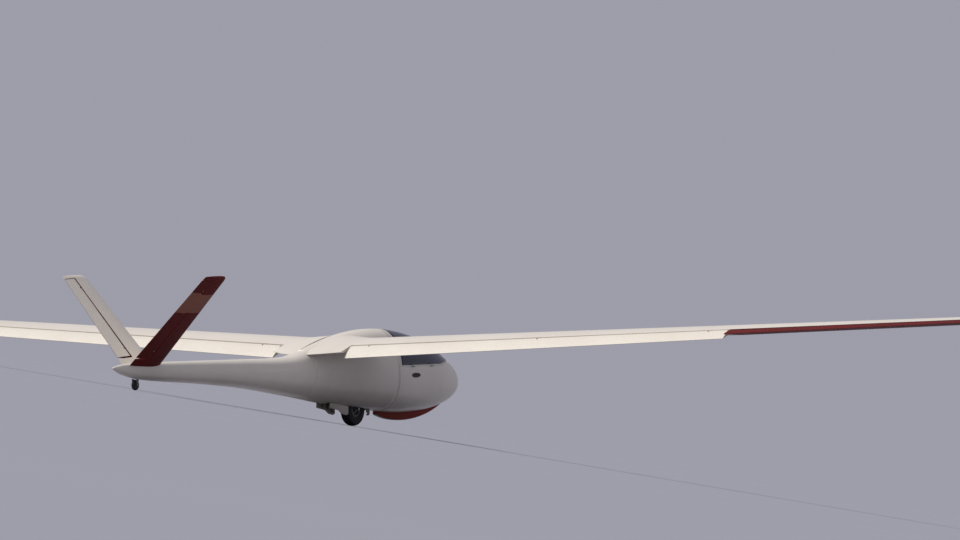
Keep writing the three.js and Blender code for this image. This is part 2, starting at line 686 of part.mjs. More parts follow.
// Wheels turn about the airframe's Y axis; the profile is [radius, y]
function turned(profile, wheel, sides) {
  const points = profile.map(([radius, y]) => new THREE.Vector2(radius, y));
  const geometry = new THREE.LatheGeometry([...points, points[0]], sides);
  return solidOf(geometry).translate([-wheel.station, 0, wheel.z]);
}

function tyreProfile({ radius, width, rim }) {
  const half = width / 2;
  const crown = radius - half * 0.55;
  const arc = [-60, -25, 0, 25, 60].map((degrees) => {
    const a = THREE.MathUtils.degToRad(degrees);
    return [crown + half * 0.55 * Math.cos(a), half * 0.98 * Math.sin(a)];
  });
  return [[rim + GAP, -half * 0.72], [rim + (radius - rim) * 0.45, -half], ...arc, [rim + (radius - rim) * 0.45, half], [rim + GAP, half * 0.72]];
}

function hubProfile({ width, rim, bore }) {
  const half = width / 2;
  return [
    [bore, -half * 0.8],
    [bore + 20 * (rim / 92), -half * 0.8],
    [bore + 24 * (rim / 92), -half * 0.3],
    [rim * 0.78, -half * 0.3],
    [rim * 0.8, -half * 0.68],
    [rim, -half * 0.7],
    [rim, half * 0.7],
    [rim * 0.8, half * 0.68],
    [rim * 0.78, half * 0.3],
    [bore + 24 * (rim / 92), half * 0.3],
    [bore + 20 * (rim / 92), half * 0.8],
    [bore, half * 0.8],
  ];
}

function buildWheel(prefix, wheel, sides) {
  addPart(`${prefix}_hub`, turned(hubProfile(wheel), wheel, sides), metal);
  addPart(`${prefix}_tyre`, turned(tyreProfile(wheel), wheel, sides), rubber);
}

function buildGear() {
  buildWheel("main", MAIN_WHEEL, 32);
  buildWheel("tail", TAIL_WHEEL, 24);
  const cheek = (wheel, top, halfTop, halfFoot, y, thick) =>
    sidePlate(
      [
        [wheel.station - halfTop, top],
        [wheel.station + halfTop, top],
        [wheel.station + halfFoot, wheel.z - halfFoot * 0.6],
        [wheel.station + halfFoot * 0.4, wheel.z - halfFoot],
        [wheel.station - halfFoot * 0.4, wheel.z - halfFoot],
        [wheel.station - halfFoot, wheel.z - halfFoot * 0.6],
      ],
      Math.min(y, y + thick),
      Math.max(y, y + thick),
    );
  const main = MAIN_WHEEL;
  const mainAxle = rod(at(main.station, -76, main.z), at(main.station, 76, main.z), main.axle, 16);
  const crossbar = box(main.station - 60, main.station + 60, -76, 76, WELL.roof - 12, WELL.roof - GAP);
  const mainCheeks = [1, -1].map((side) => cheek(main, WELL.roof - GAP, 60, 24, side * 68, side * 8));
  addPart("main_fork", joined([mainAxle, crossbar, ...mainCheeks]), metal);
  for (const [name, side] of [["left_gear_door", 1], ["right_gear_door", -1]]) {
    const edges = [WELL.halfWidth - GAP, WELL.halfWidth - GAP - GEAR_DOOR.thickness].map((y) => side * y);
    addPart(name, sidePlate(GEAR_DOOR.outline, Math.min(...edges), Math.max(...edges)), white);
  }
  const tail = TAIL_WHEEL;
  const tailAxle = rod(at(tail.station, -29, tail.z), at(tail.station, 29, tail.z), tail.axle, 12);
  const tailCheeks = [1, -1].map((side) => cheek(tail, -120, 42, 12, side * 25, side * 4));
  addPart("tail_fork", joined([tailAxle, ...tailCheeks.map((plate) => plate.subtract(outside))]), metal);
}

buildFuselage();
buildBelly();
buildCockpit();
for (const [hand, side] of [["left", 1], ["right", -1]]) {
  buildWing(hand, side);
  buildTail(hand, side);
}
buildGear();

// Sets the airframe down on three feet: finds the plane through their lowest points and levels it, until it rests
function setDown(group, feet) {
  const down = new THREE.Vector3(0, 0, -1);
  const vertex = new THREE.Vector3();
  const lowest = (mesh) => {
    const spots = mesh.geometry.attributes.position;
    const found = new THREE.Vector3(0, 0, Infinity);
    for (let i = 0; i < spots.count; i++) {
      vertex.fromBufferAttribute(spots, i).applyMatrix4(mesh.matrixWorld);
      if (vertex.z < found.z) found.copy(vertex);
    }
    return found;
  };
  for (let round = 0; round < 12; round++) {
    group.updateMatrixWorld(true);
    const [a, b, c] = feet.map((name) => lowest(group.getObjectByName(name)));
    const normal = b.sub(a).cross(c.sub(a)).normalize();
    if (normal.z > 0) normal.negate();
    group.applyQuaternion(new THREE.Quaternion().setFromUnitVectors(normal, down));
  }
  group.updateMatrixWorld(true);
  const bounds = new THREE.Box3().setFromObject(group, true);
  const centre = bounds.getCenter(new THREE.Vector3());
  group.position.sub(new THREE.Vector3(centre.x, centre.y, bounds.min.z));
}

setDown(airframe, ["main_tyre", "tail_tyre", "left_tip_skid"]);
const sailplane = new THREE.Group();
sailplane.add(airframe);

export default sailplane;
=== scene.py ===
"""Dresses a parked single-seat V-tailed sailplane: metal skins, tinted canopy, cockpit and wheels.

Places on the aircraft are given in its own axes, in millimetres: station aft of the nose, y to the left
and z up from the top line of the tail boom. One matrix, worked out from the two wheels, puts them in the
row frame.
"""
import itertools
import json
import math

import bmesh
import bpy
import numpy as np
from mathutils import Matrix, Vector
from mathutils.bvhtree import BVHTree


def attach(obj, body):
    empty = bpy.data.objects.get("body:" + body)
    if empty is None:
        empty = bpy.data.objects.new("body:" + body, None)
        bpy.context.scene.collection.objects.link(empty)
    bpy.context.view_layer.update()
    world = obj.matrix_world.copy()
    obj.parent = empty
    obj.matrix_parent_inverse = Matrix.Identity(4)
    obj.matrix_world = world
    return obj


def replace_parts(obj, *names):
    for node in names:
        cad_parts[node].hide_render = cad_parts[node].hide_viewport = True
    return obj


bl_info = {
    "name": "Parked V-tail sailplane",
    "version": (1, 0, 0),
    "blender": (4, 5, 0),
    "location": "View3D > Sidebar > Sailplane",
    "description": "Builds the visible pieces of a parked single-seat sailplane over its solid frame",
    "category": "Add Mesh",
}

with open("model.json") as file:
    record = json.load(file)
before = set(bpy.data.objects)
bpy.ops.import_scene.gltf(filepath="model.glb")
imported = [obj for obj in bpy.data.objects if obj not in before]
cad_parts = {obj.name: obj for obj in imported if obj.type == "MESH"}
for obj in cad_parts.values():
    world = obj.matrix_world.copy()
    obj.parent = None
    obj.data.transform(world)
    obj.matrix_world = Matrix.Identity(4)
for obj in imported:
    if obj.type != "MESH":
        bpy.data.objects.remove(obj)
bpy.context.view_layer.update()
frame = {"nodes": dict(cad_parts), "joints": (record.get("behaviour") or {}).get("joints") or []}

# what a skin clears its neighbour by, in millimetres
GAP = 0.3

# The airframe's own axes

MAIN_AXLE = Vector((-2.183, 0, -0.576))
TAIL_AXLE = Vector((-6.720, 0, -0.233))


def airframe_matrix():
    """From the airframe's axes to the row frame, through the two wheels' axles."""
    joints = {joint["name"]: joint for joint in frame["joints"]}
    main, tail = (Vector(joints[name]["pos_m"]) for name in ("main_wheel_spin", "tail_wheel_spin"))
    across = Vector(joints["main_wheel_spin"]["axis"])

    def basis(forward, left):
        forward = forward.normalized()
        up = forward.cross(left).normalized()
        return Matrix((forward, up.cross(forward), up)).transposed()

    turn = basis(main - tail, across) @ basis(MAIN_AXLE - TAIL_AXLE, Vector((0, 1, 0))).inverted()
    return Matrix.Translation(main - turn @ MAIN_AXLE) @ turn.to_4x4()


AIRFRAME = airframe_matrix()
AFT, LEFTWARD, UP = (AIRFRAME.to_3x3() @ Vector(v) for v in ((-1, 0, 0), (0, 1, 0), (0, 0, 1)))
HANDS = (("left", 1), ("right", -1))


def at(station, y, z):
    """A place on the aircraft, in millimetres, as a point of the row frame in metres."""
    return AIRFRAME @ Vector((-station / 1000, y / 1000, z / 1000))


# Meshes


def smooth(mesh, sharp):
    """Shades a mesh smooth, but for the edges that are sharper than an angle in degrees."""
    mesh.shade_smooth()
    mesh.set_sharp_from_angle(angle=math.radians(sharp))


def add_object(name, mesh):
    piece = bpy.data.objects.new(name, mesh)
    bpy.context.scene.collection.objects.link(piece)
    return piece


def new_piece(name, mesh, work, materials, body, sharp):
    """Ends a piece: its bmesh goes into the mesh, it is painted and smoothed, and it rides on a body."""
    bmesh.ops.recalc_face_normals(work, faces=work.faces)
    work.to_mesh(mesh)
    work.free()
    for material in materials:
        mesh.materials.append(MATERIALS[material])
    smooth(mesh, sharp)
    piece = add_object(name, mesh)
    if body:
        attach(piece, body)
    return piece


def mesh_piece(name, points, faces, materials, slots=None, body="airframe", sharp=32.0):
    """A smooth-shaded piece from points in the row frame; slots gives each face's material."""
    mesh = bpy.data.meshes.new(name)
    mesh.from_pydata([tuple(point) for point in points], [], faces)
    if slots:
        mesh.polygons.foreach_set("material_index", slots)
    work = bmesh.new()
    work.from_mesh(mesh)
    bmesh.ops.remove_doubles(work, verts=work.verts, dist=2e-5)
    bmesh.ops.dissolve_degenerate(work, edges=work.edges, dist=1e-6)
    return new_piece(name, mesh, work, materials, body, sharp)


def skin_faces(rows, columns, closed=True, keep=None):
    """Quads between rows of a grid of points; keep(row, column) leaves some out."""
    faces = []
    for r in range(rows - 1):
        here, beyond = r * columns, (r + 1) * columns
        for c in range(columns if closed else columns - 1):
            d = (c + 1) % columns
            if keep is None or keep(r, c):
                faces.append((here + c, here + d, beyond + d, beyond + c))
    return faces


def loft(name, rings, materials, slot_of=None, cap_slot=0, **more):
    """A closed skin over rings of equal count, with flat ends."""
    count = len(rings[0])
    faces = skin_faces(len(rings), count)
    slots = [slot_of(r, c) if slot_of else 0 for r in range(len(rings) - 1) for c in range(count)]
    last = (len(rings) - 1) * count
    faces += [tuple(reversed(range(count))), tuple(range(last, last + count))]
    slots += [cap_slot, cap_slot]
    return mesh_piece(name, [p for ring in rings for p in ring], faces, materials, slots, **more)


def modify(piece, kind, **settings):
    """Adds one modifier with its settings."""
    modifier = piece.modifiers.new(kind.title(), kind)
    for key, value in settings.items():
        setattr(modifier, key, value)
    return modifier


def apply_modifiers(piece):
    """Turns what the modifiers make into the piece's own mesh."""
    evaluated = piece.evaluated_get(bpy.context.evaluated_depsgraph_get())
    mesh = bpy.data.meshes.new_from_object(evaluated)
    old, piece.data = piece.data, mesh
    piece.modifiers.clear()
    bpy.data.meshes.remove(old)
    return piece


def work_piece(name, work, materials, body="airframe", sharp=32.0):
    """A smooth-shaded piece from a bmesh, which is used up."""
    return new_piece(name, bpy.data.meshes.new(name), work, materials, body, sharp)


def cut_away(piece, work):
    """Cuts the closed shapes of a bmesh, which is used up, out of a piece."""
    bmesh.ops.recalc_face_normals(work, faces=work.faces)
    mesh = bpy.data.meshes.new("cutter")
    work.to_mesh(mesh)
    work.free()
    cutter = add_object("cutter", mesh)
    modify(piece, "BOOLEAN", object=cutter, operation="DIFFERENCE", solver="EXACT")
    apply_modifiers(piece)
    bpy.data.objects.remove(cutter)
    bpy.data.meshes.remove(mesh)


def hollow(piece, name, thickness, **settings):
    """Gives a skin its thickness inwards, and stands it for a solid."""
    modify(piece, "SOLIDIFY", thickness=thickness / 1000, offset=-1.0, **settings)
    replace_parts(apply_modifiers(piece), name)


def round_edges(piece, width):
    """Rounds the piece's sharp edges by a width in millimetres."""
    limit = {"limit_method": "ANGLE", "angle_limit": math.radians(30)}
    modify(piece, "BEVEL", width=width / 1000, segments=2, harden_normals=False, **limit)
    apply_modifiers(piece)
    smooth(piece.data, 40)
    return piece


def join_rings(work, rings):
    """Adds quads to a bmesh between rings of equal count."""
    count = len(rings[0])
    for a, b in zip(rings, rings[1:]):
        for i in range(count):
            j = (i + 1) % count
            work.faces.new((a[i], a[j], b[j], b[i]))


def add_plate(work, outlines):
    """Adds a plate to a bmesh between two outlines of equal count, given as points of the row frame."""
    near, far = [[work.verts.new(point) for point in outline] for outline in outlines]
    work.faces.new(near)
    work.faces.new(list(reversed(far)))
    for i in range(len(near)):
        j = (i + 1) % len(near)
        work.faces.new((near[j], near[i], far[i], far[j]))


def add_prism(work, outline, y0, y1):
    """Adds a plate to a bmesh: a side outline of (station, z) points, between two heights of y."""
    add_plate(work, [[at(s, y, z) for s, z in outline] for y in (y0, y1)])


def side_plate(name, outline, y0, y1, material, edge):
    """A plate cut to a side outline, with rounded edges."""
    work = bmesh.new()
    add_prism(work, outline, y0, y1)
    return round_edges(work_piece(name, work, [material]), edge)


def add_turned(work, place, profile, steps=32):
    """Adds a turned shape to a bmesh; the profile is (radius, height) in millimetres along the place's z."""
    turns = [(math.cos(2 * math.pi * i / steps), math.sin(2 * math.pi * i / steps)) for i in range(steps)]
    rings = []
    for r, h in profile:
        corners = [(r * c, r * s, h) for c, s in turns] if r else [(0, 0, h)]
        rings.append([work.verts.new(place @ (Vector(corner) / 1000)) for corner in corners])
    for a, b in zip(rings, rings[1:]):
        for i in range(steps):
            j = (i + 1) % steps
            corners = [a[i % len(a)], a[j % len(a)], b[j % len(b)], b[i % len(b)]]
            work.faces.new(list(dict.fromkeys(corners)))
    for ring in (rings[0], rings[-1]):
        if len(ring) > 1:
            work.faces.new(ring)


def facing(centre, normal, upright=Vector((0, 0, 1))):
    """A place whose z axis points along a normal and whose y axis leans towards upright."""
    z = normal.normalized()
    x = upright.cross(z)
    x = x.normalized() if x.length > 1e-6 else z.orthogonal().normalized()
    return Matrix.Translation(centre) @ Matrix((x, z.cross(x), z)).transposed().to_4x4()


def add_sweep(work, points, section, across=None):
    """Adds a swept shape to a bmesh: a section of (across, over) millimetres carried along points."""
    rings = []
    side = across
    for i, point in enumerate(points):
        along = (points[min(i + 1, len(points) - 1)] - points[max(i - 1, 0)]).normalized()
        if across is None:
            side = along.orthogonal() if side is None else side
        side = (side - along * side.dot(along)).normalized()
        over = side.cross(along)
        rings.append([work.verts.new(point + (side * a + over * b) / 1000) for a, b in section])
        if across is not None:
            side = across
    join_rings(work, rings)
    work.faces.new(rings[0])
    work.faces.new(list(reversed(rings[-1])))


def round_section(radius, steps=12):
    """A circle as a section for a sweep."""
    angles = [2 * math.pi * i / steps for i in range(steps)]
    return [(radius * math.cos(a), radius * math.sin(a)) for a in angles]


def curve_weights(t):
    """The weights of a smooth curve's start, its slope there, its end and its slope there."""
    return 2 * t**3 - 3 * t**2 + 1, t**3 - 2 * t**2 + t, 3 * t**2 - 2 * t**3, t**3 - t**2


def smooth_path(points, steps):
    """Points along a smooth curve through the given ones."""
    path = []
    for i, (a, b) in enumerate(zip(points, points[1:])):
        before, after = points[max(i - 1, 0)], points[min(i + 2, len(points) - 1)]
        for k in range(steps):
            start, leave, end, reach = curve_weights(k / steps)
            path.append(a * start + (b - before) / 2 * leave + b * end + (after - a) / 2 * reach)
    return path + [points[-1]]


# Node trees that set out what repeats


def add_math(tree, operation, a, b=None):
    """One step of arithmetic on sockets or numbers."""
    values = {0: a} if b is None else {0: a, 1: b}
    return add_node(tree, "ShaderNodeMath", values, operation=operation).outputs[0]


def geometry_tree(name, sockets):
    """A geometry tree with named inputs; each socket is (name, kind, default)."""
    tree = bpy.data.node_groups.new(name, "GeometryNodeTree")
    for label, kind, default in (("Geometry", "Geometry", None), *sockets, ("Finish", "Material", None)):
        socket = tree.interface.new_socket(label, in_out="INPUT", socket_type=f"NodeSocket{kind}")
        if default is not None:
            socket.default_value = default
    tree.interface.new_socket("Geometry", in_out="OUTPUT", socket_type="NodeSocketGeometry")
    return tree, tree.nodes.new("NodeGroupInput").outputs


def spread(tree, given, points, instance, **more):
    """Ends a geometry tree: an instance on every point becomes mesh, and takes the finish."""
    node = add_node(tree, "GeometryNodeInstanceOnPoints", Points=points, Instance=instance, **more)
    node = add_node(tree, "GeometryNodeRealizeInstances", Geometry=node.outputs[0])
    node = add_node(tree, "GeometryNodeSetMaterial", Geometry=node.outputs[0], Material=given["Finish"])
    tree.links.new(node.outputs[0], tree.nodes.new("NodeGroupOutput").inputs[0])
    return tree


def curve_points(tree, given, mode, **how):
    """Points along the given lines."""
    curve = add_node(tree, "GeometryNodeMeshToCurve", Mesh=given["Geometry"]).outputs[0]
    return add_node(tree, "GeometryNodeCurveToPoints", Curve=curve, mode=mode, **how).outputs


def circle_points(tree, given):
    sizes = {"Vertices": given["Count"], "Radius": given["Circle radius"]}
    return add_node(tree, "GeometryNodeMeshCircle", sizes).outputs[0]


def turned_to(tree, axis, vector):
    """The turn that brings an axis along a vector."""
    return add_node(tree, "FunctionNodeAlignRotationToVector", Vector=vector, axis=axis).outputs[0]


def head_shape(tree, given):
    """A low domed head: a cone with its top cut off, standing on its own base."""
    top = add_math(tree, "MULTIPLY", given["Head radius"], 0.6)
    sizes = {"Radius Bottom": given["Head radius"], "Radius Top": top, "Depth": given["Head height"]}
    head = add_node(tree, "GeometryNodeMeshCone", sizes, Vertices=given["Head sides"])
    return add_node(tree, "GeometryNodeSetShadeSmooth", Geometry=head.outputs[0]).outputs[0]


# heads of rivets, screws and bolts: name, kind and default of each size
HEAD_SOCKETS = [("Head radius", "Float", 0.003), ("Head height", "Float", 0.001), ("Head sides", "Int", 8)]
# of its pitch, how much a thread covers
STITCH_SHARE = 0.62


def rows_tree():
    """Heads set out along lines at a spacing, each seated square on the skin nearest to it."""
    sockets = [("Skin", "Object", None), ("Spacing", "Float", 0.045), *HEAD_SOCKETS]
    tree, given = geometry_tree("fastener_rows", sockets)
    points = curve_points(tree, given, "LENGTH", Length=given["Spacing"])["Points"]
    skin = add_node(tree, "GeometryNodeObjectInfo", Object=given["Skin"], transform_space="RELATIVE")
    skin = skin.outputs["Geometry"]
    surface = {"Mesh": skin, "Value": add_node(tree, "GeometryNodeInputNormal").outputs["Normal"]}
    nearest = add_node(tree, "GeometryNodeSampleNearestSurface", surface, data_type="FLOAT_VECTOR")
    place = add_node(tree, "GeometryNodeProximity", {0: skin}).outputs["Position"]
    seated = add_node(tree, "GeometryNodeSetPosition", Geometry=points, Position=place).outputs[0]
    turn = turned_to(tree, "Z", nearest.outputs["Value"])
    return spread(tree, given, seated, head_shape(tree, given), Rotation=turn)


def ring_tree():
    """Heads in a circle about the z axis, such as a wheel's or a cover's bolts."""
    sockets = [("Count", "Int", 6), ("Circle radius", "Float", 0.04), *HEAD_SOCKETS]
    tree, given = geometry_tree("fastener_ring", sockets)
    return spread(tree, given, circle_points(tree, given), head_shape(tree, given))


def stitch_tree():
    """Short threads laid end to end along lines, for seams."""
    sockets = [("Pitch", "Float", 0.009), ("Thread radius", "Float", 0.0009)]
    tree, given = geometry_tree("stitch_rows", sockets)
    points = curve_points(tree, given, "LENGTH", Length=given["Pitch"])
    length = add_math(tree, "MULTIPLY", given["Pitch"], STITCH_SHARE)
    sizes = {"Radius": given["Thread radius"], "Depth": length, "Vertices": 6}
    thread = add_node(tree, "GeometryNodeMeshCylinder", sizes).outputs[0]
    return spread(tree, given, points["Points"], thread, Rotation=turned_to(tree, "Z", points["Tangent"]))


def tick_tree():
    """Short bars in a circle about the z axis, each pointing outwards, such as a dial's marks."""
    sockets = [("Count", "Int", 12), ("Circle radius", "Float", 0.03), ("Bar", "Vector", None)]
    tree, given = geometry_tree("tick_ring", sockets)
    bar = add_node(tree, "GeometryNodeMeshCube", Size=given["Bar"]).outputs[0]
    outwards = turned_to(tree, "X", add_node(tree, "GeometryNodeInputPosition").outputs[0])
    return spread(tree, given, circle_points(tree, given), bar, Rotation=outwards)


def slat_tree():
    """Bars set out along the x axis, shortened so that together they fill an oval of a given half length."""
    sockets = [("Count", "Int", 9), ("Half length", "Float", 0.09), ("Bar", "Vector", None)]
    tree, given = geometry_tree("slat_row", sockets)
    points = curve_points(tree, given, "COUNT", Count=given["Count"])["Points"]
    place = add_node(tree, "GeometryNodeInputPosition").outputs[0]
    along = add_node(tree, "ShaderNodeSeparateXYZ", Vector=place).outputs[0]
    share = add_math(tree, "DIVIDE", along, given["Half length"])
    rest = add_math(tree, "SUBTRACT", 1.0, add_math(tree, "MULTIPLY", share, share))
    scale = add_node(tree, "ShaderNodeCombineXYZ", X=1.0, Y=add_math(tree, "SQRT", rest), Z=1.0).outputs[0]
    bar = add_node(tree, "GeometryNodeMeshCube", Size=given["Bar"]).outputs[0]
    return spread(tree, given, points, bar, Scale=scale)


TREES = {}
TREE_KINDS = {
    "rows": rows_tree,
    "ring": ring_tree,
    "stitches": stitch_tree,
    "ticks": tick_tree,
    "slats": slat_tree,
}


def grow(name, kind, lines, body, material, place=None, **values):
    """Runs one of the node trees over lines of points and keeps what it makes as a plain mesh."""
    if kind not in TREES:
        TREES[kind] = TREE_KINDS[kind]()
    tree = TREES[kind]
    edges, start = [], 0
    for line in lines:
        edges += [(start + i, start + i + 1) for i in range(len(line) - 1)]
        start += len(line)
    mesh = bpy.data.meshes.new(name)
    mesh.from_pydata([tuple(p) for line in lines for p in line], edges, [])
    piece = add_object(name, mesh)
    modifier = modify(piece, "NODES", node_group=tree)
    keys = {item.name: item.identifier for item in tree.interface.items_tree if item.in_out == "INPUT"}
    modifier[keys["Finish"]] = MATERIALS[material]
    for label, value in values.items():
        modifier[keys[label.replace("_", " ")]] = value
    apply_modifiers(piece)
    if place:
        piece.data.transform(place)
    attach(piece, body)
    return piece


def rivet_rows(name, skin, lines, material, body="airframe", spacing=None, radius=None, sides=8):
    """Rows of rivets along lines on a skin."""
    looks = bpy.context.scene.sailplane_looks
    radius = radius or looks.rivet_diameter / 2
    spacing = spacing or looks.rivet_spacing
    head = {"Head_radius": radius, "Head_height": radius * 0.5, "Head_sides": sides}
    return grow(name, "rows", lines, body, material, Skin=skin, Spacing=spacing, **head)


def bolt_ring(name, place, count, circle, radius, height, material, body="airframe", sides=6):
    """A circle of bolt heads on a face; sizes in millimetres."""
    head = {"Head_radius": radius / 1000, "Head_height": height / 1000, "Head_sides": sides}
    ring = {"Count": count, "Circle_radius": circle / 1000}
    return grow(name, "ring", [], body, material, place, **ring, **head)


def dial_ticks(name, place, count, circle, bar, material):
    """The marks round a dial; sizes in millimetres."""
    sizes = {"Circle_radius": circle / 1000, "Bar": [v / 1000 for v in bar]}
    return grow(name, "ticks", [], "airframe", material, place, Count=count, **sizes)


def slat_row(name, place, count, reach, half_length, bar, material):
    """Slats across an opening, from -reach to reach along the place's x axis; sizes in millimetres."""
    line = [(-reach / 1000, 0, 0), (reach / 1000, 0, 0)]
    sizes = {"Half_length": half_length / 1000, "Bar": [v / 1000 for v in bar]}
    return grow(name, "slats", [line], "airframe", material, place, Count=count, **sizes)


def stitch(name, lines, pitch, radius):
    """Seam thread along lines; sizes in millimetres."""
    sizes = {"Pitch": pitch / 1000, "Thread_radius": radius / 1000}
    return grow(f"{name}_stitches", "stitches", lines, "airframe", "seam_thread", **sizes)


# Materials


def linear(hex_colour):
    """An sRGB hex colour as the linear values that a shader takes."""
    parts = [int(hex_colour[i : i + 2], 16) / 255 for i in (1, 3, 5)]
    return [*(c / 12.92 if c <= 0.04045 else ((c + 0.055) / 1.055) ** 2.4 for c in parts), 1.0]


def feed(tree, node, values):
    """Feeds a node's inputs, by their names or numbers: sockets are linked, other values are set."""
    for key, value in values.items():
        if isinstance(value, bpy.types.NodeSocket):
            tree.links.new(value, node.inputs[key])
        else:
            node.inputs[key].default_value = value


def add_node(tree, kind, values=None, **settings):
    """Adds a node; a setting is one of its properties, or else feeds the input of that name."""
    node = tree.nodes.new(kind)
    named = {}
    for key, value in settings.items():
        if hasattr(node, key):
            setattr(node, key, value)
        else:
            named[key.replace("_", " ")] = value
    feed(tree, node, named)
    feed(tree, node, values or {})
    return node


def new_material(name):
    """A material with its tree, its shader and its Object coordinates."""
    material = bpy.data.materials.new(name)
    material.use_nodes = True
    tree = material.node_tree
    tree.nodes.clear()
    shader = add_node(tree, "ShaderNodeBsdfPrincipled")
    add_node(tree, "ShaderNodeOutputMaterial", Surface=shader.outputs[0])
    return material, tree, shader, add_node(tree, "ShaderNodeTexCoord").outputs["Object"]


MATERIALS = {}


def add_noise(tree, place, scale, detail, roughness):
    settings = {"Vector": place, "Scale": scale, "Detail": detail, "Roughness": roughness}
    return add_node(tree, "ShaderNodeTexNoise", settings).outputs[0]


def add_mix(tree, share, first, second):
    """A colour that goes from a first to a second one; a hex colour or a socket each."""
    first, second = (linear(colour) if isinstance(colour, str) else colour for colour in (first, second))
    return add_node(tree, "ShaderNodeMix", {0: share, 6: first, 7: second}, data_type="RGBA").outputs[2]


def add_range(tree, value, low, high, least=0.0, most=1.0):
    """A value carried from one range to another, and held within it."""
    ends = {"From Min": low, "From Max": high, "To Min": least, "To Max": most}
    return add_node(tree, "ShaderNodeMapRange", ends, Value=value).outputs[0]


def add_bump(tree, height, strength, distance):
    return add_node(tree, "ShaderNodeBump", Height=height, Strength=strength, Distance=distance).outputs[0]


def enamel(name, colour, grime, roughness=0.28, coat=0.25, sheen=0.5, underside_shade=0.5):
    """Sprayed enamel on thin riveted sheet: a clean shine over an uneven skin, with painted shade on what
    faces down.
    """
    material, tree, shader, place = new_material(name)
    patches = add_noise(tree, place, 1.7, 4.0, 0.55)
    specks = add_noise(tree, place, 38.0, 3.0, 0.6)
    # painted shade: what faces the ground is mixed, in patches, towards a dark brown
    normal = add_node(tree, "ShaderNodeNewGeometry").outputs["Normal"]
    up = add_node(tree, "ShaderNodeSeparateXYZ", Vector=normal).outputs[2]
    under = add_math(tree, "MULTIPLY", add_range(tree, up, 0.35, -0.7, 0.0, underside_shade), patches)
    # thin sheet pulls in between its ribs, here about 250 mm apart
    ripple = add_noise(tree, place, 4.0, 1.0, 0.4)
    looks = {
        # the dark brown of the painted shade on downward faces
        "Base Color": add_mix(tree, under, add_mix(tree, patches, colour, grime), "#7d6450"),
        "Roughness": add_range(tree, specks, 0.35, 0.75, roughness, roughness + 0.14),
        "Normal": add_bump(tree, ripple, 0.12, 0.004),
        "Coat Weight": coat,
        "Coat Roughness": 0.12,
        "Specular IOR Level": sheen,
    }
    feed(tree, shader, looks)
    return material


def bare_metal(name, colour, roughness):
    """Bare alloy or steel part, dulled by handling: fine scratches blur its shine."""
    material, tree, shader, place = new_material(name)
    scratches = add_noise(tree, place, 60.0, 5.0, 0.7)
    looks = {
        "Base Color": linear(colour),
        "Roughness": add_range(tree, scratches, 0.3, 0.8, roughness, roughness + 0.2),
        "Normal": add_bump(tree, scratches, 0.15, 0.0004),
        "Metallic": 1.0,
    }
    feed(tree, shader, looks)
    return material


def matte(name, colour, second, scale, roughness, depth):
    """Moulded rubber, wrinkle paint or other dull finish: a broken-up surface with no clear reflection."""
    material, tree, shader, place = new_material(name)
    grain = add_noise(tree, place, scale, 4.0, 0.65)
    skin = {"Base Color": add_mix(tree, grain, colour, second), "Normal": add_bump(tree, grain, 0.4, depth)}
    feed(tree, shader, {**skin, "Roughness": roughness})
    return material


def tinted_acrylic(name, colour, clear, bend):
    """Blown tinted acrylic or drawn glass: glossy, and dark where it is seen edge on."""
    material, tree, shader, place = new_material(name)
    haze = add_range(tree, add_noise(tree, place, 9.0, 3.0, 0.6), 0.4, 0.8, 0.02, 0.09)
    looks = {"Base Color": linear(colour), "Roughness": haze, "Transmission Weight": clear, "IOR": bend}
    feed(tree, shader, looks)
    return material


def woven(name, colour, second, pitch):
    """Woven cloth: over-and-under threads, drawn at a pitch in millimetres that is coarse enough to show."""
    material, tree, shader, place = new_material(name)
    threads = []
    for turn in (0.0, math.pi / 2):
        turned = add_node(tree, "ShaderNodeMapping", Vector=place, Rotation=(0.2, 0.3, turn)).outputs[0]
        wave = add_node(tree, "ShaderNodeTexWave", Vector=turned, Scale=314.0 / pitch, Distortion=0.6)
        threads.append(wave.outputs["Fac"])
    weave = add_math(tree, "MULTIPLY", *threads)
    looks = {
        "Base Color": add_mix(tree, weave, second, colour),
        "Normal": add_bump(tree, weave, 0.5, 0.001),
        "Roughness": 0.9,
        "Sheen Weight": 0.3,
    }
    feed(tree, shader, looks)
    return material


# The body's shape

SECTION_POWER = 2.2
BODY_ROWS = [
    # station, top, bottom, half width, height of the widest place
    (4, -300, -352, 28, -326),
    (25, -262, -392, 74, -326),
    (70, -217, -434, 120, -325),
    (140, -160, -480, 168, -322),
    (280, -80, -537, 220, -315),
    (450, 8, -581, 252, -300),
    (700, 110, -618, 282, -280),
    (1000, 198, -634, 302, -260),
    (1400, 264, -637, 312, -240),
    (1800, 287, -608, 308, -220),
    (2200, 270, -579, 292, -205),
    (2600, 218, -538, 262, -195),
    (3000, 138, -492, 222, -190),
    (3300, 68, -453, 192, -185),
    (3700, 8, -404, 168, -180),
    (4600, 0, -307, 135, -150),
    (5500, 0, -243, 105, -121),
    (6200, 0, -208, 84, -104),
    (6700, 0, -172, 62, -86),
    (7000, -15, -120, 40, -67),
    (7160, -40, -66, 14, -53),
]
NOSE, LENGTH = BODY_ROWS[0][0], BODY_ROWS[-1][0]
NOSE_JOINT, COCKPIT_JOINT, BOOM_JOINT, TAIL_JOINT = 280, 1700, 3300, 6980
# the sill's height from SILL_FROM aft and at the nose joint; the frame's rear hoop and its side rails
SILL, SILL_FROM, SILL_NOSE = -128, 700, -80
CANOPY_REAR, RIM, SIDE_RAIL = 1660, 28, 14
WELL = {"front": 1955, "step": 2411, "rear": 2840, "half_width": 88, "roof": -335, "rear_roof": -430}


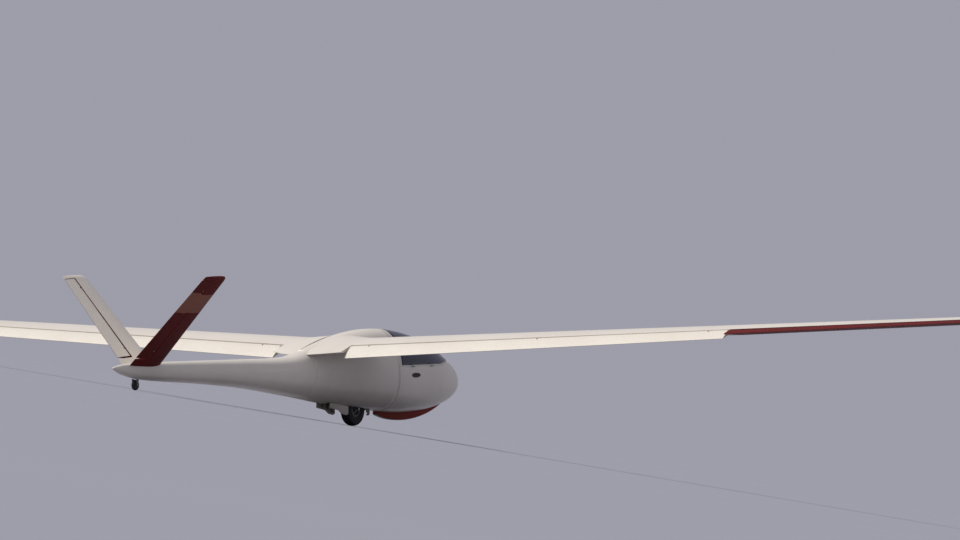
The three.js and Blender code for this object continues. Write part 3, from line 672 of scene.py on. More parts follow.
def body_row(station):
    """(top, bottom, half width, widest) at a station, on smooth curves through the rows."""
    station = min(max(station, NOSE), LENGTH)
    after = max(1, next(i for i, row in enumerate(BODY_ROWS) if row[0] >= station))
    a, b = BODY_ROWS[after - 1], BODY_ROWS[after]
    before = BODY_ROWS[after - 2] if after > 1 else a
    beyond = BODY_ROWS[after + 1] if after + 1 < len(BODY_ROWS) else b
    length = b[0] - a[0]
    weights = curve_weights((station - a[0]) / length)
    row = []
    for k in range(1, 5):
        m0 = (b[k] - before[k]) / (b[0] - before[0]) * length
        m1 = (beyond[k] - a[k]) / (beyond[0] - a[0]) * length
        row.append(sum(w * v for w, v in zip(weights, (a[k], m0, b[k], m1))))
    return row


def body_point(station, angle):
    """A point of the body's skin; angle 0 is the left side and 90 degrees the top."""
    top, bottom, half, widest = body_row(station)
    c, s = math.cos(angle), math.sin(angle)
    bend = 2 / SECTION_POWER
    reach = top - widest if s > 0 else widest - bottom
    y, rise = half * math.copysign(abs(c) ** bend, c), reach * math.copysign(abs(s) ** bend, s)
    return at(station, y, widest + rise)


def angle_at_height(station, z):
    """Where the skin above its widest place comes up to z, as an angle up to 90 degrees."""
    top, _, _, widest = body_row(station)
    return math.asin(min(1.0, max(0.0, (z - widest) / (top - widest)) ** (SECTION_POWER / 2)))


def sill(station):
    """The height of the canopy's sill: level along the cockpit, and rising to the nose ahead of it."""
    share = (station - NOSE_JOINT) / (SILL_FROM - NOSE_JOINT)
    return SILL_NOSE + (SILL - SILL_NOSE) * min(1.0, max(0.0, share))


def angle_at_side(station, y):
    """Where the skin below its widest place comes in to y, as an angle below the horizontal."""
    half = body_row(station)[2]
    return -math.acos(min(1.0, (y / half) ** (SECTION_POWER / 2)))


def spaced(start, end, step):
    """Stations from start to end, about step apart."""
    count = max(1, round((end - start) / step))
    return [start + (end - start) * i / count for i in range(count + 1)]


def bands(limits, counts):
    """Angles in bands: counts gives how many steps each band between two limits has."""
    angles = []
    for (low, high), count in zip(zip(limits, limits[1:]), counts):
        angles += [low + (high - low) * i / count for i in range(count)]
    return angles


def pod_angles(station):
    """Columns that follow the well and the sill: bottom, well edge, sill, top, and down the other side."""
    side = angle_at_height(station, sill(station))
    edge = angle_at_side(station, WELL["half_width"])
    bottom, top = -math.pi / 2, math.pi / 2
    limits = (bottom, edge, side, top, math.pi - side, math.pi - edge, math.pi - bottom)
    return bands(limits, (4, 26, 14, 14, 26, 4))


POD_COLUMNS = 88
WELL_COLUMNS = (*range(0, 4), *range(84, 88))
CANOPY_COLUMNS = range(30, 58)


def side_point(station, z, side, out=0.0):
    """A point of the body's side at a height, moved out along y."""
    top, bottom, half, widest = body_row(station)
    reach = top - widest if z > widest else widest - bottom
    y = half * max(0.0, 1 - abs((z - widest) / reach) ** SECTION_POWER) ** (1 / SECTION_POWER)
    return at(station, side * (y + out), z)


def even_ring(station, shrink=1.0):
    """A ring of the body's skin, drawn in towards its own middle where the nose rounds off."""
    top, bottom, _, _ = body_row(station)
    middle = at(station, 0, (top + bottom) / 2)
    angles = [2 * math.pi * i / POD_COLUMNS for i in range(POD_COLUMNS)]
    return [middle.lerp(body_point(station, a), shrink) for a in angles]


# (station, share of the full ring) where the two ends round off
NOSE_ROUNDING = [(4, 0.3), (4.6, 0.5), (6, 0.68), (9, 0.83), (14, 0.94), (20, 0.985)]
TAIL_ROUNDING = [(7155, 0.93), (7158, 0.78), (7159.5, 0.55), (LENGTH, 0.3)]
# stations of the riveted frames
FRAMES = {
    "nose": (268,),
    "cockpit": (292, 480, 700, 930, 1180, 1430, 1620),
    "behind_canopy": (1674, 1692),
    "ahead_of_well": (1708, 1830, 1950),
    "beside_well": (2150, 2400, 2650, 2850),
    "behind_well": (3060, 3288),
    "boom": (3312, 3700, 4150, 4600, 5050, 5500, 5950, 6968),
}
HOOP_BELOW_SILL, LAP_BELOW_SILL = 18, 14
NOSE_STATIONS = [28, 38, 52, 70, 92, 115, 140, 170, 205, 240, NOSE_JOINT]


def pod_skin(name, stations, opened, columns, materials):
    """A skin over the pod, left open between some stations over some of its columns."""
    points = [body_point(s, a) for s in stations for a in pod_angles(s)]
    open_rows = [opened[0] <= s < opened[1] for s in stations]
    faces = skin_faces(len(stations), POD_COLUMNS, keep=lambda r, c: not (open_rows[r] and c in columns))
    return mesh_piece(name, points, faces, materials)


def body_skin(name, solid, stations, front=(), rear=()):
    """A closed white skin for a solid; front and rear are (station, share) where it rounds off."""
    rings = [even_ring(s, shrink=f) for s, f in front] + [even_ring(s) for s in stations]
    skin = loft(name, rings + [even_ring(s, shrink=f) for s, f in rear], ["white_enamel"])
    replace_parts(skin, solid)
    return skin


def stretches(ends, steps):
    """Stations from end to end, with a step of its own in each stretch between them."""
    stations = [ends[0]]
    for start, end, step in zip(ends, ends[1:], steps):
        stations += spaced(start, end, step)[1:]
    return stations


def build_fuselage():
    white, inside = "white_enamel", "cockpit_paint"
    nose = body_skin("nose_skin", "nose_cone", NOSE_STATIONS, front=NOSE_ROUNDING)
    stations = stretches((NOSE_JOINT + GAP, 320, CANOPY_REAR, COCKPIT_JOINT), (4, 30, 30))
    shell = pod_skin("cockpit_skin", stations, (0, CANOPY_REAR), CANOPY_COLUMNS, [white, inside])
    hollow(shell, "cockpit_shell", 18, use_even_offset=True, material_offset=1)
    stations = stretches((COCKPIT_JOINT + GAP, WELL["front"], WELL["rear"], BOOM_JOINT), (40, 40, 40))
    centre = pod_skin("centre_skin", stations, (WELL["front"], WELL["rear"]), WELL_COLUMNS, [white])
    hollow(centre, "centre_fuselage", 4)
    boom = body_skin("boom_skin", "tail_boom", spaced(BOOM_JOINT + GAP, TAIL_JOINT, 60))
    stations = [*spaced(TAIL_JOINT + GAP, 7130, 15), 7142, 7151]
    body_skin("boom_end_skin", "boom_end_cap", stations, rear=TAIL_ROUNDING)
    rivet_fuselage(nose, shell, centre, boom)


def mirrored(angle, side):
    """An angle round the body on the left side (1), or its mirror image on the right (-1)."""
    return angle if side > 0 else math.pi - angle


def hoop_line(station, low, high):
    """A line round one side of the body from one angle to another, and its mirror image."""
    angles = [low + (high - low) * i / 18 for i in range(19)]
    return [[body_point(station, mirrored(a, side)) for a in angles] for side in (1, -1)]


def hoops(stations, beside=None):
    """Lines round the body up to its crown, from its keel or from a distance beside it."""
    lows = [-math.pi / 2 if beside is None else angle_at_side(s, beside) for s in stations]
    return [line for s, low in zip(stations, lows) for line in hoop_line(s, low, math.pi / 2)]


def long_lines(start, end, angle, rear_angle):
    """A line along each side of the body, at an angle that goes over to another at its rear end."""
    places = [(s, angle + (rear_angle - angle) * (s - start) / (end - start)) for s in spaced(start, end, 60)]
    return side_lines(places)


def side_lines(places):
    """A line on each side of the body through (station, angle) places."""
    return [[body_point(s, mirrored(a, side)) for s, a in places] for side in (1, -1)]


def rivet_fuselage(nose, shell, centre, boom):
    """Rivets along the frames, the stringers and the laps of the skins."""
    white = "white_enamel"
    rivet_rows("nose_rivets", nose, hoops(FRAMES["nose"]), white)
    lines = []
    for station in FRAMES["cockpit"]:
        top = angle_at_height(station, sill(station) - HOOP_BELOW_SILL)
        lines += hoop_line(station, angle_at_side(station, 60), top)
    lines += hoops(FRAMES["behind_canopy"], 60) + long_lines(300, 1690, -0.35, -0.55)
    for side in (1, -1):
        lines.append([side_point(s, sill(s) - LAP_BELOW_SILL, side) for s in spaced(330, 1650, 60)])
    rivet_rows("cockpit_rivets", shell, lines, white)
    lines = hoops(FRAMES["ahead_of_well"], 60) + hoops(FRAMES["beside_well"], 100)
    lines += hoops(FRAMES["behind_well"]) + long_lines(1708, 3290, -0.55, -0.6)
    lines += side_lines([(s, angle_at_side(s, WELL["half_width"] + 12)) for s in spaced(1960, 2840, 40)])
    rivet_rows("centre_rivets", centre, lines, white)
    lines = hoops(FRAMES["boom"])
    lines += long_lines(3312, 6968, -0.75, -0.75) + long_lines(3312, 6200, 0.75, 0.75)
    rivet_rows("boom_rivets", boom, lines, white)


def build_well():
    """The closed box that the main wheel stands in."""
    paint = "well_primer"
    half = WELL["half_width"]
    outline = [(WELL["front"], -560), (WELL["front"], WELL["roof"]), (WELL["step"], WELL["roof"])]
    outline += [(WELL["rear"], WELL["rear_roof"]), (WELL["rear"], -500)]
    points = [at(s, side * half, z) for side in (1, -1) for s, z in outline]
    faces = [(i, i + 1, i + 6, i + 5) for i in range(4)] + [(0, 1, 2, 3, 4), (5, 6, 7, 8, 9)]
    liner = mesh_piece("wheel_well_liner", points, faces, [paint])
    modify(liner, "SOLIDIFY", thickness=0.003, offset=0.0)
    apply_modifiers(liner)


LATCHES = {"stations": (760, 1360), "below_sill": 22, "knob": 470}
KNOB_PROFILE = [(5, 0), (5, 12), (11, 16), (13, 24), (9, 31), (0, 33)]
CANOPY_HINGE = {"front": 960, "rear": 1400, "front_y": -302, "rear_y": -316, "radius": 6, "knuckle": 24}


def build_canopy():
    stations = [281.5, 284, 288, 293, 300] + spaced(306, 420, 8) + spaced(420, CANOPY_REAR - RIM, 30)[1:]
    stations += [CANOPY_REAR - 1]
    rail, pane = 3, 30

    def arc(station):
        low, high = (angle_at_height(station, z) for z in (sill(station) + 1, sill(station) + SIDE_RAIL))
        limits = (low, high, math.pi - high, math.pi - low)
        return [*bands(limits, (rail, pane, rail)), math.pi - low]

    def is_pane(r, c):
        return r < len(stations) - 2 and rail <= c < rail + pane

    points = [body_point(s, a) for s in stations for a in arc(s)]
    pieces = []
    for name, solid, paint, thickness, keep in (
        ("canopy_frame_skin", "canopy_frame", "white_enamel", 16, lambda r, c: not is_pane(r, c)),
        ("canopy_pane", "canopy_glass", "tinted_canopy", 5, is_pane),
    ):
        faces = skin_faces(len(stations), 2 * rail + pane + 1, closed=False, keep=keep)
        pieces.append(mesh_piece(name, points, faces, [paint], body="canopy"))
        hollow(pieces[-1], solid, thickness)
    lines = [[side_point(s, sill(s) + 8, side) for s in spaced(400, 1620, 60)] for side in (1, -1)]
    hoop = CANOPY_REAR - RIM / 2
    lines += hoop_line(hoop, angle_at_height(hoop, SILL + 30), math.pi / 2)
    rivet_rows("canopy_screws", pieces[0], lines, "steel_fittings", "canopy", 0.075, 0.0035)
    canopy_hinges()
    canopy_latches()


def canopy_hinges():
    """Two barrel hinges on the right sill: the middle knuckle stays, the outer two lift with the canopy."""
    ends = [at(CANOPY_HINGE[end], CANOPY_HINGE[f"{end}_y"], SILL) for end in ("front", "rear")]
    along = (ends[1] - ends[0]).normalized()
    knuckle, radius = CANOPY_HINGE["knuckle"], CANOPY_HINGE["radius"]
    length = knuckle - 0.8
    barrel = [(radius - 0.8, 0), (radius, 0.8), (radius, length - 0.8), (radius - 0.8, length)]
    for name, turns, body in (
        ("canopy_hinge_seats", (0,), "airframe"),
        ("canopy_hinge_barrels", (-1, 1), "canopy"),
    ):
        work = bmesh.new()
        for end, turn in itertools.product(ends, turns):
            foot = end + along * (knuckle * (turn - 0.5) + 0.4) / 1000
            add_turned(work, facing(foot, along), barrel, 20)
        work_piece(name, work, ["steel_fittings"], body)


def canopy_latches():
    """Two latch handles inside the left sill, and a grab knob at the front of the frame."""
    work = bmesh.new()
    z = SILL - LATCHES["below_sill"]
    for station in LATCHES["stations"]:
        inner = body_row(station)[2] - 30
        add_turned(work, facing(at(station, inner, z), -LEFTWARD), [(9, 0), (9, 5), (7, 7), (0, 7.5)], 20)
        arm = [at(station + d, inner - 6 - d * 0.02, z + d * 0.02) for d in (0, 20, 40, 60)]
        add_sweep(work, arm, round_section(4, 10))
    work_piece("canopy_latch_handles", work, ["steel_fittings"])
    knob = bmesh.new()
    station = LATCHES["knob"]
    add_turned(knob, facing(at(station, 0, body_row(station)[0] - 20), -UP), KNOB_PROFILE, 20)
    work_piece("canopy_grab_knob", knob, ["black_lacquer"], "canopy")


# Wings and tail

HALF_SPAN, DIHEDRAL = 8230, math.radians(2.5)
ROOT_INCIDENCE, TIP_INCIDENCE = math.radians(3.5), 0.0
WING = {"root_leading": 2150, "root_chord": 1040, "root_z": 95, "tip_leading": 2350, "tip_chord": 500}
WING.update(thickness=0.15, bow=0.03)
REAR_SPAR = 0.74
COVER_SPANS = (900, 2600, 4300, 5300, 6900)
HINGE_SHARE, RUNNING = 0.8, 5
FAIRING_END, PANEL_END = 420, 7914
FLAP = {"start": 440, "end": 4952, "hinges": (0.05, 0.5, 0.95), "lowered": math.radians(20)}
AILERON = {"start": 4968, "end": 7900, "hinges": (0.06, 0.5, 0.94), "lowered": 0.0}
TAIL = {"apex_z": -70, "angle": math.radians(48), "root_leading": 6300, "root_chord": 610}
TAIL.update(tip_leading=6320, tip_chord=440, end=1262, hinge_share=0.62, thickness=0.1, bow=0.0)
RUDDERVATOR = {"start": 170, "end": 1254, "hinges": (0.1, 0.88), "lowered": 0.0}
EAR = {"thickness": 8, "pin": 4, "reach": 13}
# steps along each face of a section, and round a moving surface's nose
SECTION_STEPS, NOSE_STEPS = 26, 11


class Surface:
    """A wing or tail surface: where each share of its chord lies at each span, and its section there."""

    def __init__(self, side, hinge_share, thickness, bow):
        self.side, self.hinge_share, self.thickness, self.bow = side, hinge_share, thickness, bow

    def half(self, x):
        shape = 0.2969 * math.sqrt(x) - 0.126 * x - 0.3516 * x**2 + 0.2843 * x**3 - 0.1036 * x**4
        return self.thickness / 0.2 * shape + 0.0025 * x

    def camber(self, x):
        place = 0.4
        if x < place:
            return self.bow / place**2 * (2 * place * x - x * x)
        return self.bow / (1 - place) ** 2 * (1 - 2 * place + 2 * place * x - x * x)

    def seat(self):
        x = self.hinge_share
        return x, self.camber(x), self.half(x)

    def skin(self, span, x, way):
        """A point of the upper (1) or lower (-1) skin."""
        return self.point(span, x, self.camber(x) + way * self.half(x))


class Wing(Surface):
    def chord(self, span):
        return WING["root_chord"] + (WING["tip_chord"] - WING["root_chord"]) * span / HALF_SPAN

    def point(self, span, x, h):
        ends = []
        for end, incidence in (("root", ROOT_INCIDENCE), ("tip", TIP_INCIDENCE)):
            leading, chord = WING[f"{end}_leading"], WING[f"{end}_chord"]
            c, s = math.cos(incidence), math.sin(incidence)
            ends.append((leading + chord * (x * c + h * s), chord * (h * c - x * s)))
        (root_station, root_rise), (tip_station, tip_rise) = ends
        share = span / HALF_SPAN
        z = WING["root_z"] + span * math.tan(DIHEDRAL) + root_rise + (tip_rise - root_rise) * share
        return at(root_station + (tip_station - root_station) * share, self.side * span, z)


class TailSurface(Surface):
    def chord(self, span):
        return TAIL["root_chord"] + (TAIL["tip_chord"] - TAIL["root_chord"]) * span / TAIL["end"]

    def point(self, span, x, h):
        leading = TAIL["root_leading"] + (TAIL["tip_leading"] - TAIL["root_leading"]) * span / TAIL["end"]
        chord = self.chord(span)
        c, s = math.cos(TAIL["angle"]), math.sin(TAIL["angle"])
        rise = h * chord
        y, z = self.side * (span * c - rise * s), TAIL["apex_z"] + span * s + rise * c
        return at(leading + chord * x, y, z)


def chord_steps(x0, x1, count):
    """Shares of the chord from x0 to x1, closest together at the leading edge."""
    a0, a1 = math.acos(1 - 2 * x0), math.acos(1 - 2 * x1)
    return [(1 - math.cos(a0 + (a1 - a0) * i / count)) / 2 for i in range(count + 1)]


def section(surface, span, x0, x1, thick=1.0, count=SECTION_STEPS, place=None):
    """A section's outline from the rear over the top to the front and back underneath."""
    put = place or (lambda x: x)
    steps = chord_steps(x0, x1, count)

    def edge(x, way):
        return surface.point(span, put(x), surface.camber(x) + way * thick * surface.half(x))

    upper = [edge(x, 1) for x in reversed(steps)]
    return upper + [edge(x, -1) for x in (steps[1:] if x0 == 0 else steps)]


def fixed_section(surface, span):
    x, _, r = surface.seat()
    return section(surface, span, 0, x - r - RUNNING / surface.chord(span))


def moving_section(surface, span):
    """A moving surface's outline, with a round nose about its hinge."""
    x, h, r = surface.seat()
    ring = section(surface, span, x, 1, count=10)
    nose = [math.radians(105 + 15 * i) for i in range(NOSE_STEPS)]
    round_nose = [surface.point(span, x + r * math.cos(a), h + r * math.sin(a)) for a in nose]
    return ring[:NOSE_STEPS] + round_nose + ring[NOSE_STEPS:]


def hinge_places(surface, spec):
    """Where the hinges start and run, and for each its frame (forward, along, up) and its nose's radius."""
    x, h, r = surface.seat()
    start, end = (surface.point(spec[key], x, h) for key in ("start", "end"))
    along = (end - start).normalized()
    places = []
    for share in spec["hinges"]:
        span = spec["start"] + (spec["end"] - spec["start"]) * share
        centre = surface.point(span, x, h)
        forward = surface.point(span, x - 0.1, surface.camber(x - 0.1)) - centre
        forward = (forward - along * forward.dot(along)).normalized()
        turn = Matrix((forward, along, forward.cross(along))).transposed().to_4x4()
        places.append((Matrix.Translation(centre) @ turn, r * surface.chord(span)))
    return start, along, places


def box_mesh(work, place, lows, highs):
    """Adds a box to a bmesh, in millimetres in a place's own axes."""
    corners = itertools.product(*zip(lows, highs))
    verts = [work.verts.new(place @ (Vector(corner) / 1000)) for corner in corners]
    for f in ((0, 1, 3, 2), (4, 6, 7, 5), (0, 4, 5, 1), (2, 3, 7, 6), (0, 2, 6, 4), (1, 5, 7, 3)):
        work.faces.new([verts[i] for i in f])


def cut_slots(piece, places):
    """Cuts the hinge slots into a moving surface's nose."""
    work = bmesh.new()
    for place, radius in places:
        half = EAR["thickness"] / 2 + RUNNING
        ear = min(9, radius - 3)
        box_mesh(work, place, (-ear - RUNNING, -half, -radius * 2), (radius + RUNNING + 4, half, radius * 2))
    cut_away(piece, work)


def moving_surface(name, surface, spec, materials, pitch=300, slot_of=None, cap_slot=0):
    """A flap, aileron or ruddervator as it stands, with its hinge slots."""
    start, along, places = hinge_places(surface, spec)
    rings = [moving_section(surface, span) for span in spaced(spec["start"], spec["end"], pitch)]
    piece = loft(f"{name}_skin", rings, materials, slot_of, cap_slot, body=name)
    cut_slots(piece, places)
    if spec["lowered"]:
        angle = -surface.side * spec["lowered"]
        turn = Matrix.Translation(start) @ Matrix.Rotation(angle, 4, along) @ Matrix.Translation(-start)
        piece.data.transform(turn)
    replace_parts(piece, name)
    return piece, places


def bracket_pieces(name, places):
    """The fixed ears of the hinges: a plate with its cross pin, on the part ahead of the gap."""
    work = bmesh.new()
    half, pin = EAR["thickness"] / 2, EAR["pin"] / 1000
    nose = [math.radians(90 + 15 * i) for i in range(13)]
    for place, radius in places:
        ear, back = min(9, radius - 3), radius + RUNNING + 6
        outline = [(math.cos(a) * ear, math.sin(a) * ear) for a in nose]
        outline += [(back, -ear * 0.8), (back, ear * 0.8)]
        add_plate(work, [[place @ (Vector((x, y, z)) / 1000) for x, z in outline] for y in (-half, half)])
        cone = {"radius1": pin, "radius2": pin, "depth": 2 * EAR["reach"] / 1000}
        across = place @ Matrix.Rotation(math.pi / 2, 4, "X")
        bmesh.ops.create_cone(work, cap_ends=True, segments=16, matrix=across, **cone)
    work_piece(name, work, ["steel_fittings"], sharp=30)


# rows of a shaped end: span, shifts of the leading and trailing edges in shares of the chord, and thickness
ROOT_ROWS = [(60, -0.075, 0.17, 1.5), (140, -0.05, 0.155, 1.36), (230, -0.03, 0.13, 1.24)]
ROOT_ROWS += [(290, -0.015, 0.09, 1.13), (350, -0.006, 0.04, 1.05), (FAIRING_END, 0, 0, 1)]
TIP_ROWS = [(PANEL_END + GAP, 0, 0, 1), (8080, 0, 0, 1), (8125, 0.006, -0.001, 0.98)]
TIP_ROWS += [(8160, 0.02, -0.004, 0.93), (8188, 0.042, -0.011, 0.85), (8210, 0.07, -0.02, 0.74)]
TIP_ROWS += [(8222, 0.092, -0.028, 0.63), (8230, 0.12, -0.04, 0.5)]
FIN_TIP_ROWS = [(1262, 0, 0, 1), (1278, 0.01, -0.002, 0.97), (1290, 0.03, -0.01, 0.86)]
FIN_TIP_ROWS += [(1300, 0.06, -0.02, 0.7), (1306, 0.1, -0.035, 0.5)]


def shaped_section(surface, row):
    span, back, trail, thick = row
    return section(surface, span, 0, 1, thick, place=lambda x: back + x * (1 + trail - back))


def skin_line(surface, span_from, span_to, x_from, x_to, way, steps=20):
    """A straight run over a wing's upper (1) or lower (-1) skin, from one place to another."""
    line = []
    for t in (i / steps for i in range(steps + 1)):
        line.append(surface.skin(span_from + (span_to - span_from) * t, x_from + (x_to - x_from) * t, way))
    return line


def rib_lines(surface, spans, x_from, x_to, way):
    return [skin_line(surface, s, s, x_from, x_to, way) for s in spans]


def build_wings():
    for hand, side in HANDS:
        build_wing(hand, side)


def build_wing(hand, side):
    surface = Wing(side, HINGE_SHARE, WING["thickness"], WING["bow"])
    white, red = "white_enamel", "red_enamel"
    root, tip = ([shaped_section(surface, row) for row in rows] for rows in (ROOT_ROWS, TIP_ROWS))
    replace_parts(loft(f"{hand}_root_fillet", root, [white]), f"{hand}_root_fairing")
    spans = stretches((FAIRING_END + GAP, FLAP["end"] + 8, PANEL_END), (300, 300))
    outer = [s >= FLAP["end"] for s in spans]
    rings = [fixed_section(surface, s) for s in spans]
    panel = loft(f"{hand}_wing_skin", rings, [white, red], lambda r, c: int(outer[r] and c >= SECTION_STEPS))
    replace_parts(panel, f"{hand}_wing")
    places, skins = [], []
    for part, spec, paint in (("flap", FLAP, white), ("aileron", AILERON, red)):
        skin, part_places = moving_surface(f"{hand}_{part}", surface, spec, [paint])
        skins.append((skin, spec, paint))
        places += part_places
    bracket_pieces(f"{hand}_wing_hinges", places)
    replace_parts(loft(f"{hand}_tip_skin", tip, [white, red], under_slot), f"{hand}_wing_tip")
    rivet_wing(hand, surface, panel)
    for moving in skins:
        rivet_moving(surface, *moving)
    inspection_covers(hand, surface)
    tip_skid(hand, surface)


def rivet_wing(hand, surface, panel):
    """Rivets along the ribs and the spars; those of the red undersides are red."""
    inner, outer, whole = (470, 4930), (4990, 7890), (470, 7890)
    # for each set: its ribs' and its spars' ends with the skin that they are on, and each spar's steps
    for name, paint, ribs, spars in (
        ("wing", "white_enamel", ((inner, 1), (outer, 1), (inner, -1)), ((whole, 1, 120), (inner, -1, 80))),
        ("outer_wing", "red_enamel", ((outer, -1),), ((outer, -1, 50),)),
    ):
        lines = []
        for ends, way in ribs:
            lines += rib_lines(surface, spaced(*ends, 300), 0.03, REAR_SPAR, way)
        for x, (ends, way, steps) in itertools.product((0.3, REAR_SPAR), spars):
            lines.append(skin_line(surface, *ends, x, x, way, steps))
        rivet_rows(f"{hand}_{name}_rivets", panel, lines, paint)


def rivet_moving(surface, skin, spec, paint):
    """Rivets along the ribs and the spar of a flap or an aileron, as it stands."""
    ends = spec["start"] + 30, spec["end"] - 30
    lines = [line for way in (1, -1) for line in rib_lines(surface, spaced(*ends, 300), 0.84, 0.975, way)]
    lines += [skin_line(surface, *ends, 0.84, 0.84, way, 40) for way in (1, -1)]
    if spec["lowered"]:
        start, along, _ = hinge_places(surface, spec)
        turn = Matrix.Rotation(-surface.side * spec["lowered"], 3, along)
        lines = [[start + turn @ (p - start) for p in line] for line in lines]
    body = skin.name.removesuffix("_skin")
    rivet_rows(f"{body}_rivets", skin, lines, paint, body)


def cover_place(surface, span, x, way):
    """Where a round cover lies on a wing's skin."""
    centre = surface.skin(span, x, way)
    ahead, beside = surface.skin(span, x - 0.02, way) - centre, surface.skin(span + 20, x, way) - centre
    normal = ahead.cross(beside).normalized()
    return facing(centre, normal if normal.dot(UP * way) > 0 else -normal)


def inspection_covers(hand, surface):
    """Round screwed covers under the wing, where the control cranks are reached."""
    for number, span in enumerate(COVER_SPANS, 1):
        paint = "red_enamel" if span > FLAP["end"] else "white_enamel"
        place = cover_place(surface, span, 0.6, -1)
        work = bmesh.new()
        add_turned(work, place, [(0, -1), (62, -1), (62, 0.9), (60.5, 1.6), (0, 1.6)], 48)
        name = f"{hand}_inspection_cover_{number}"
        work_piece(name, work, [paint])
        face = place @ Matrix.Translation((0, 0, 0.0015))
        bolt_ring(f"{name}_screws", face, 8, 52, 3.2, 1.2, "steel_fittings", sides=10)


TIP_SKID = {"length": 190, "depth": 62, "width": 16, "span": HALF_SPAN - 60, "share": 0.45}


def tip_skid(hand, surface):
    """A sprung steel bow under the wing tip."""
    foot = AIRFRAME.inverted() @ surface.point(TIP_SKID["span"], TIP_SKID["share"], 0)
    station, y, z = -foot.x * 1000, foot.y * 1000, foot.z * 1000
    half, depth, steps = TIP_SKID["length"] / 2, TIP_SKID["depth"], 32
    turns = [math.pi * i / steps for i in range(steps + 1)]
    outline = [(station - half * math.cos(a), z - 25 - depth * math.sin(a)) for a in turns]
    outline += [(station + half, z - 10), (station - half, z - 10)]
    width = TIP_SKID["width"] / 2
    bow = side_plate(f"{hand}_tip_bow", outline, y - width, y + width, "skid_steel", 2.5)
    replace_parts(bow, f"{hand}_tip_skid")


def under_slot(_, column):
    """The slot of a closed section's column: red underneath."""
    return int(SECTION_STEPS <= column < 2 * SECTION_STEPS)


def band_slot(share):
    """The tail's lower face is red, with a tan band on its outer part."""
    return 2 if 0.64 <= share <= 0.84 else 1


def build_tails():
    for hand, side in HANDS:
        build_tail(hand, side)


def build_tail(hand, side):
    surface = TailSurface(side, TAIL["hinge_share"], TAIL["thickness"], TAIL["bow"])
    paints = ["white_enamel", "red_enamel", "tan_band"]
    root_end = RUDDERVATOR["start"] - 22

    def slots_of(spans, first_under):
        shares = [span / TAIL["end"] for span in spans]
        return lambda r, c: band_slot(shares[r]) if c >= first_under else 0

    root = [section(surface, span, 0, 1) for span in spaced(62, root_end, 20)]
    loft(f"{hand}_fin_root_skin", root, paints, under_slot, 1)
    spans = spaced(root_end, TAIL["end"], 28)
    fixed = [fixed_section(surface, span) for span in spans]
    front = loft(f"{hand}_fin_skin", fixed, paints, slots_of(spans, SECTION_STEPS), 1)
    tip = [shaped_section(surface, row) for row in FIN_TIP_ROWS]
    loft(f"{hand}_fin_tip_skin", tip, paints, under_slot, 1)
    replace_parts(front, f"{hand}_fin")
    slot_of = slots_of(spaced(RUDDERVATOR["start"], RUDDERVATOR["end"], 28), NOSE_STEPS)
    moving, places = moving_surface(f"{hand}_ruddervator", surface, RUDDERVATOR, paints, 28, slot_of, 1)
    bracket_pieces(f"{hand}_tail_hinges", places)
    rivet_tail(hand, surface, front, moving)


def rivet_tail(hand, surface, front, moving):
    """Rivets along the tail's ribs and spar; its band is left smooth."""
    spans = spaced(180, TAIL["end"] - 20, 210)
    below = [span for span in spans if band_slot(span / TAIL["end"]) == 1]
    for face, paint, way, chosen, spar_end, steps in (
        ("inner", "white_enamel", 1, spans, TAIL["end"] - 20, 40),
        ("outer", "red_enamel", -1, below, TAIL["end"] * 0.63, 30),
    ):
        lines = rib_lines(surface, chosen, 0.03, 0.56, way)
        lines.append(skin_line(surface, 180, spar_end, 0.56, 0.56, way, steps))
        rivet_rows(f"{hand}_fin_{face}_rivets", front, lines, paint)
        lines = rib_lines(surface, chosen, 0.68, 0.95, way)
        rivet_rows(f"{hand}_ruddervator_{face}_rivets", moving, lines, paint, f"{hand}_ruddervator")


# Belly

SKID = {"width": 56, "shoe": 6, "shoe_width": 40}
SKID["curve"] = [(165, -496), (520, -715), (1250, -785), (1700, -650)]


def runner_points(count):
    """The skid's lower edge, on one curve through its four control points."""
    (s0, z0), (s1, z1), (s2, z2), (s3, z3) = SKID["curve"]
    points = []
    for i in range(count + 1):
        t = i / count
        a, b, c, d = (1 - t) ** 3, 3 * t * (1 - t) ** 2, 3 * t * t * (1 - t), t**3
        points.append((a * s0 + b * s1 + c * s2 + d * s3, a * z0 + b * z1 + c * z2 + d * z3))
    return points


def build_belly():
    """The nose skid with its steel shoe, the tow hook and the two side vents."""
    steel = "skid_steel"
    lower = runner_points(48)
    upper = [(s, body_row(s)[1] + 14) for s, _ in reversed(lower)]
    half = SKID["width"] / 2
    runner = side_plate("skid_runner", lower + upper, -half, half, "skid_enamel", 4)
    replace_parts(runner, "nose_skid")
    worn = [(s, z) for s, z in lower if z < body_row(s)[1] - 12]
    shoe_line = [(s, z - GAP) for s, z in worn] + [(s, z - SKID["shoe"]) for s, z in reversed(worn)]
    half = SKID["shoe_width"] / 2
    shoe = side_plate("skid_wear_strip", shoe_line, -half, half, steel, 1.2)
    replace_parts(shoe, "skid_shoe")
    lines = [[at(s, y, z - SKID["shoe"]) for s, z in worn[2:-2]] for y in (-12, 12)]
    rivet_rows("skid_screws", shoe, lines, "steel_fittings", spacing=0.11, radius=0.0042, sides=10)
    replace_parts(side_plate("tow_hook_plate", HOOK, -8, 8, steel, 1.2), "tow_hook")
    work = bmesh.new()
    add_turned(work, facing(at(1836, -8, -622), -LEFTWARD), [(7, -18), (7, 0.8), (6, 1.6), (0, 1.8)], 20)
    work_piece("tow_hook_pivot", work, ["steel_fittings"])
    for hand, side in HANDS:
        side_vent(hand, side)


HOOK = [(1822, -595), (1822, -640), (1832, -652), (1850, -660), (1870, -658), (1880, -654), (1880, -645)]
HOOK += [(1862, -645), (1856, -640), (1858, -632), (1880, -625), (1880, -595)]
VENT = {"station": 1330, "z": -226, "length": 190, "height": 52, "steps": 48}


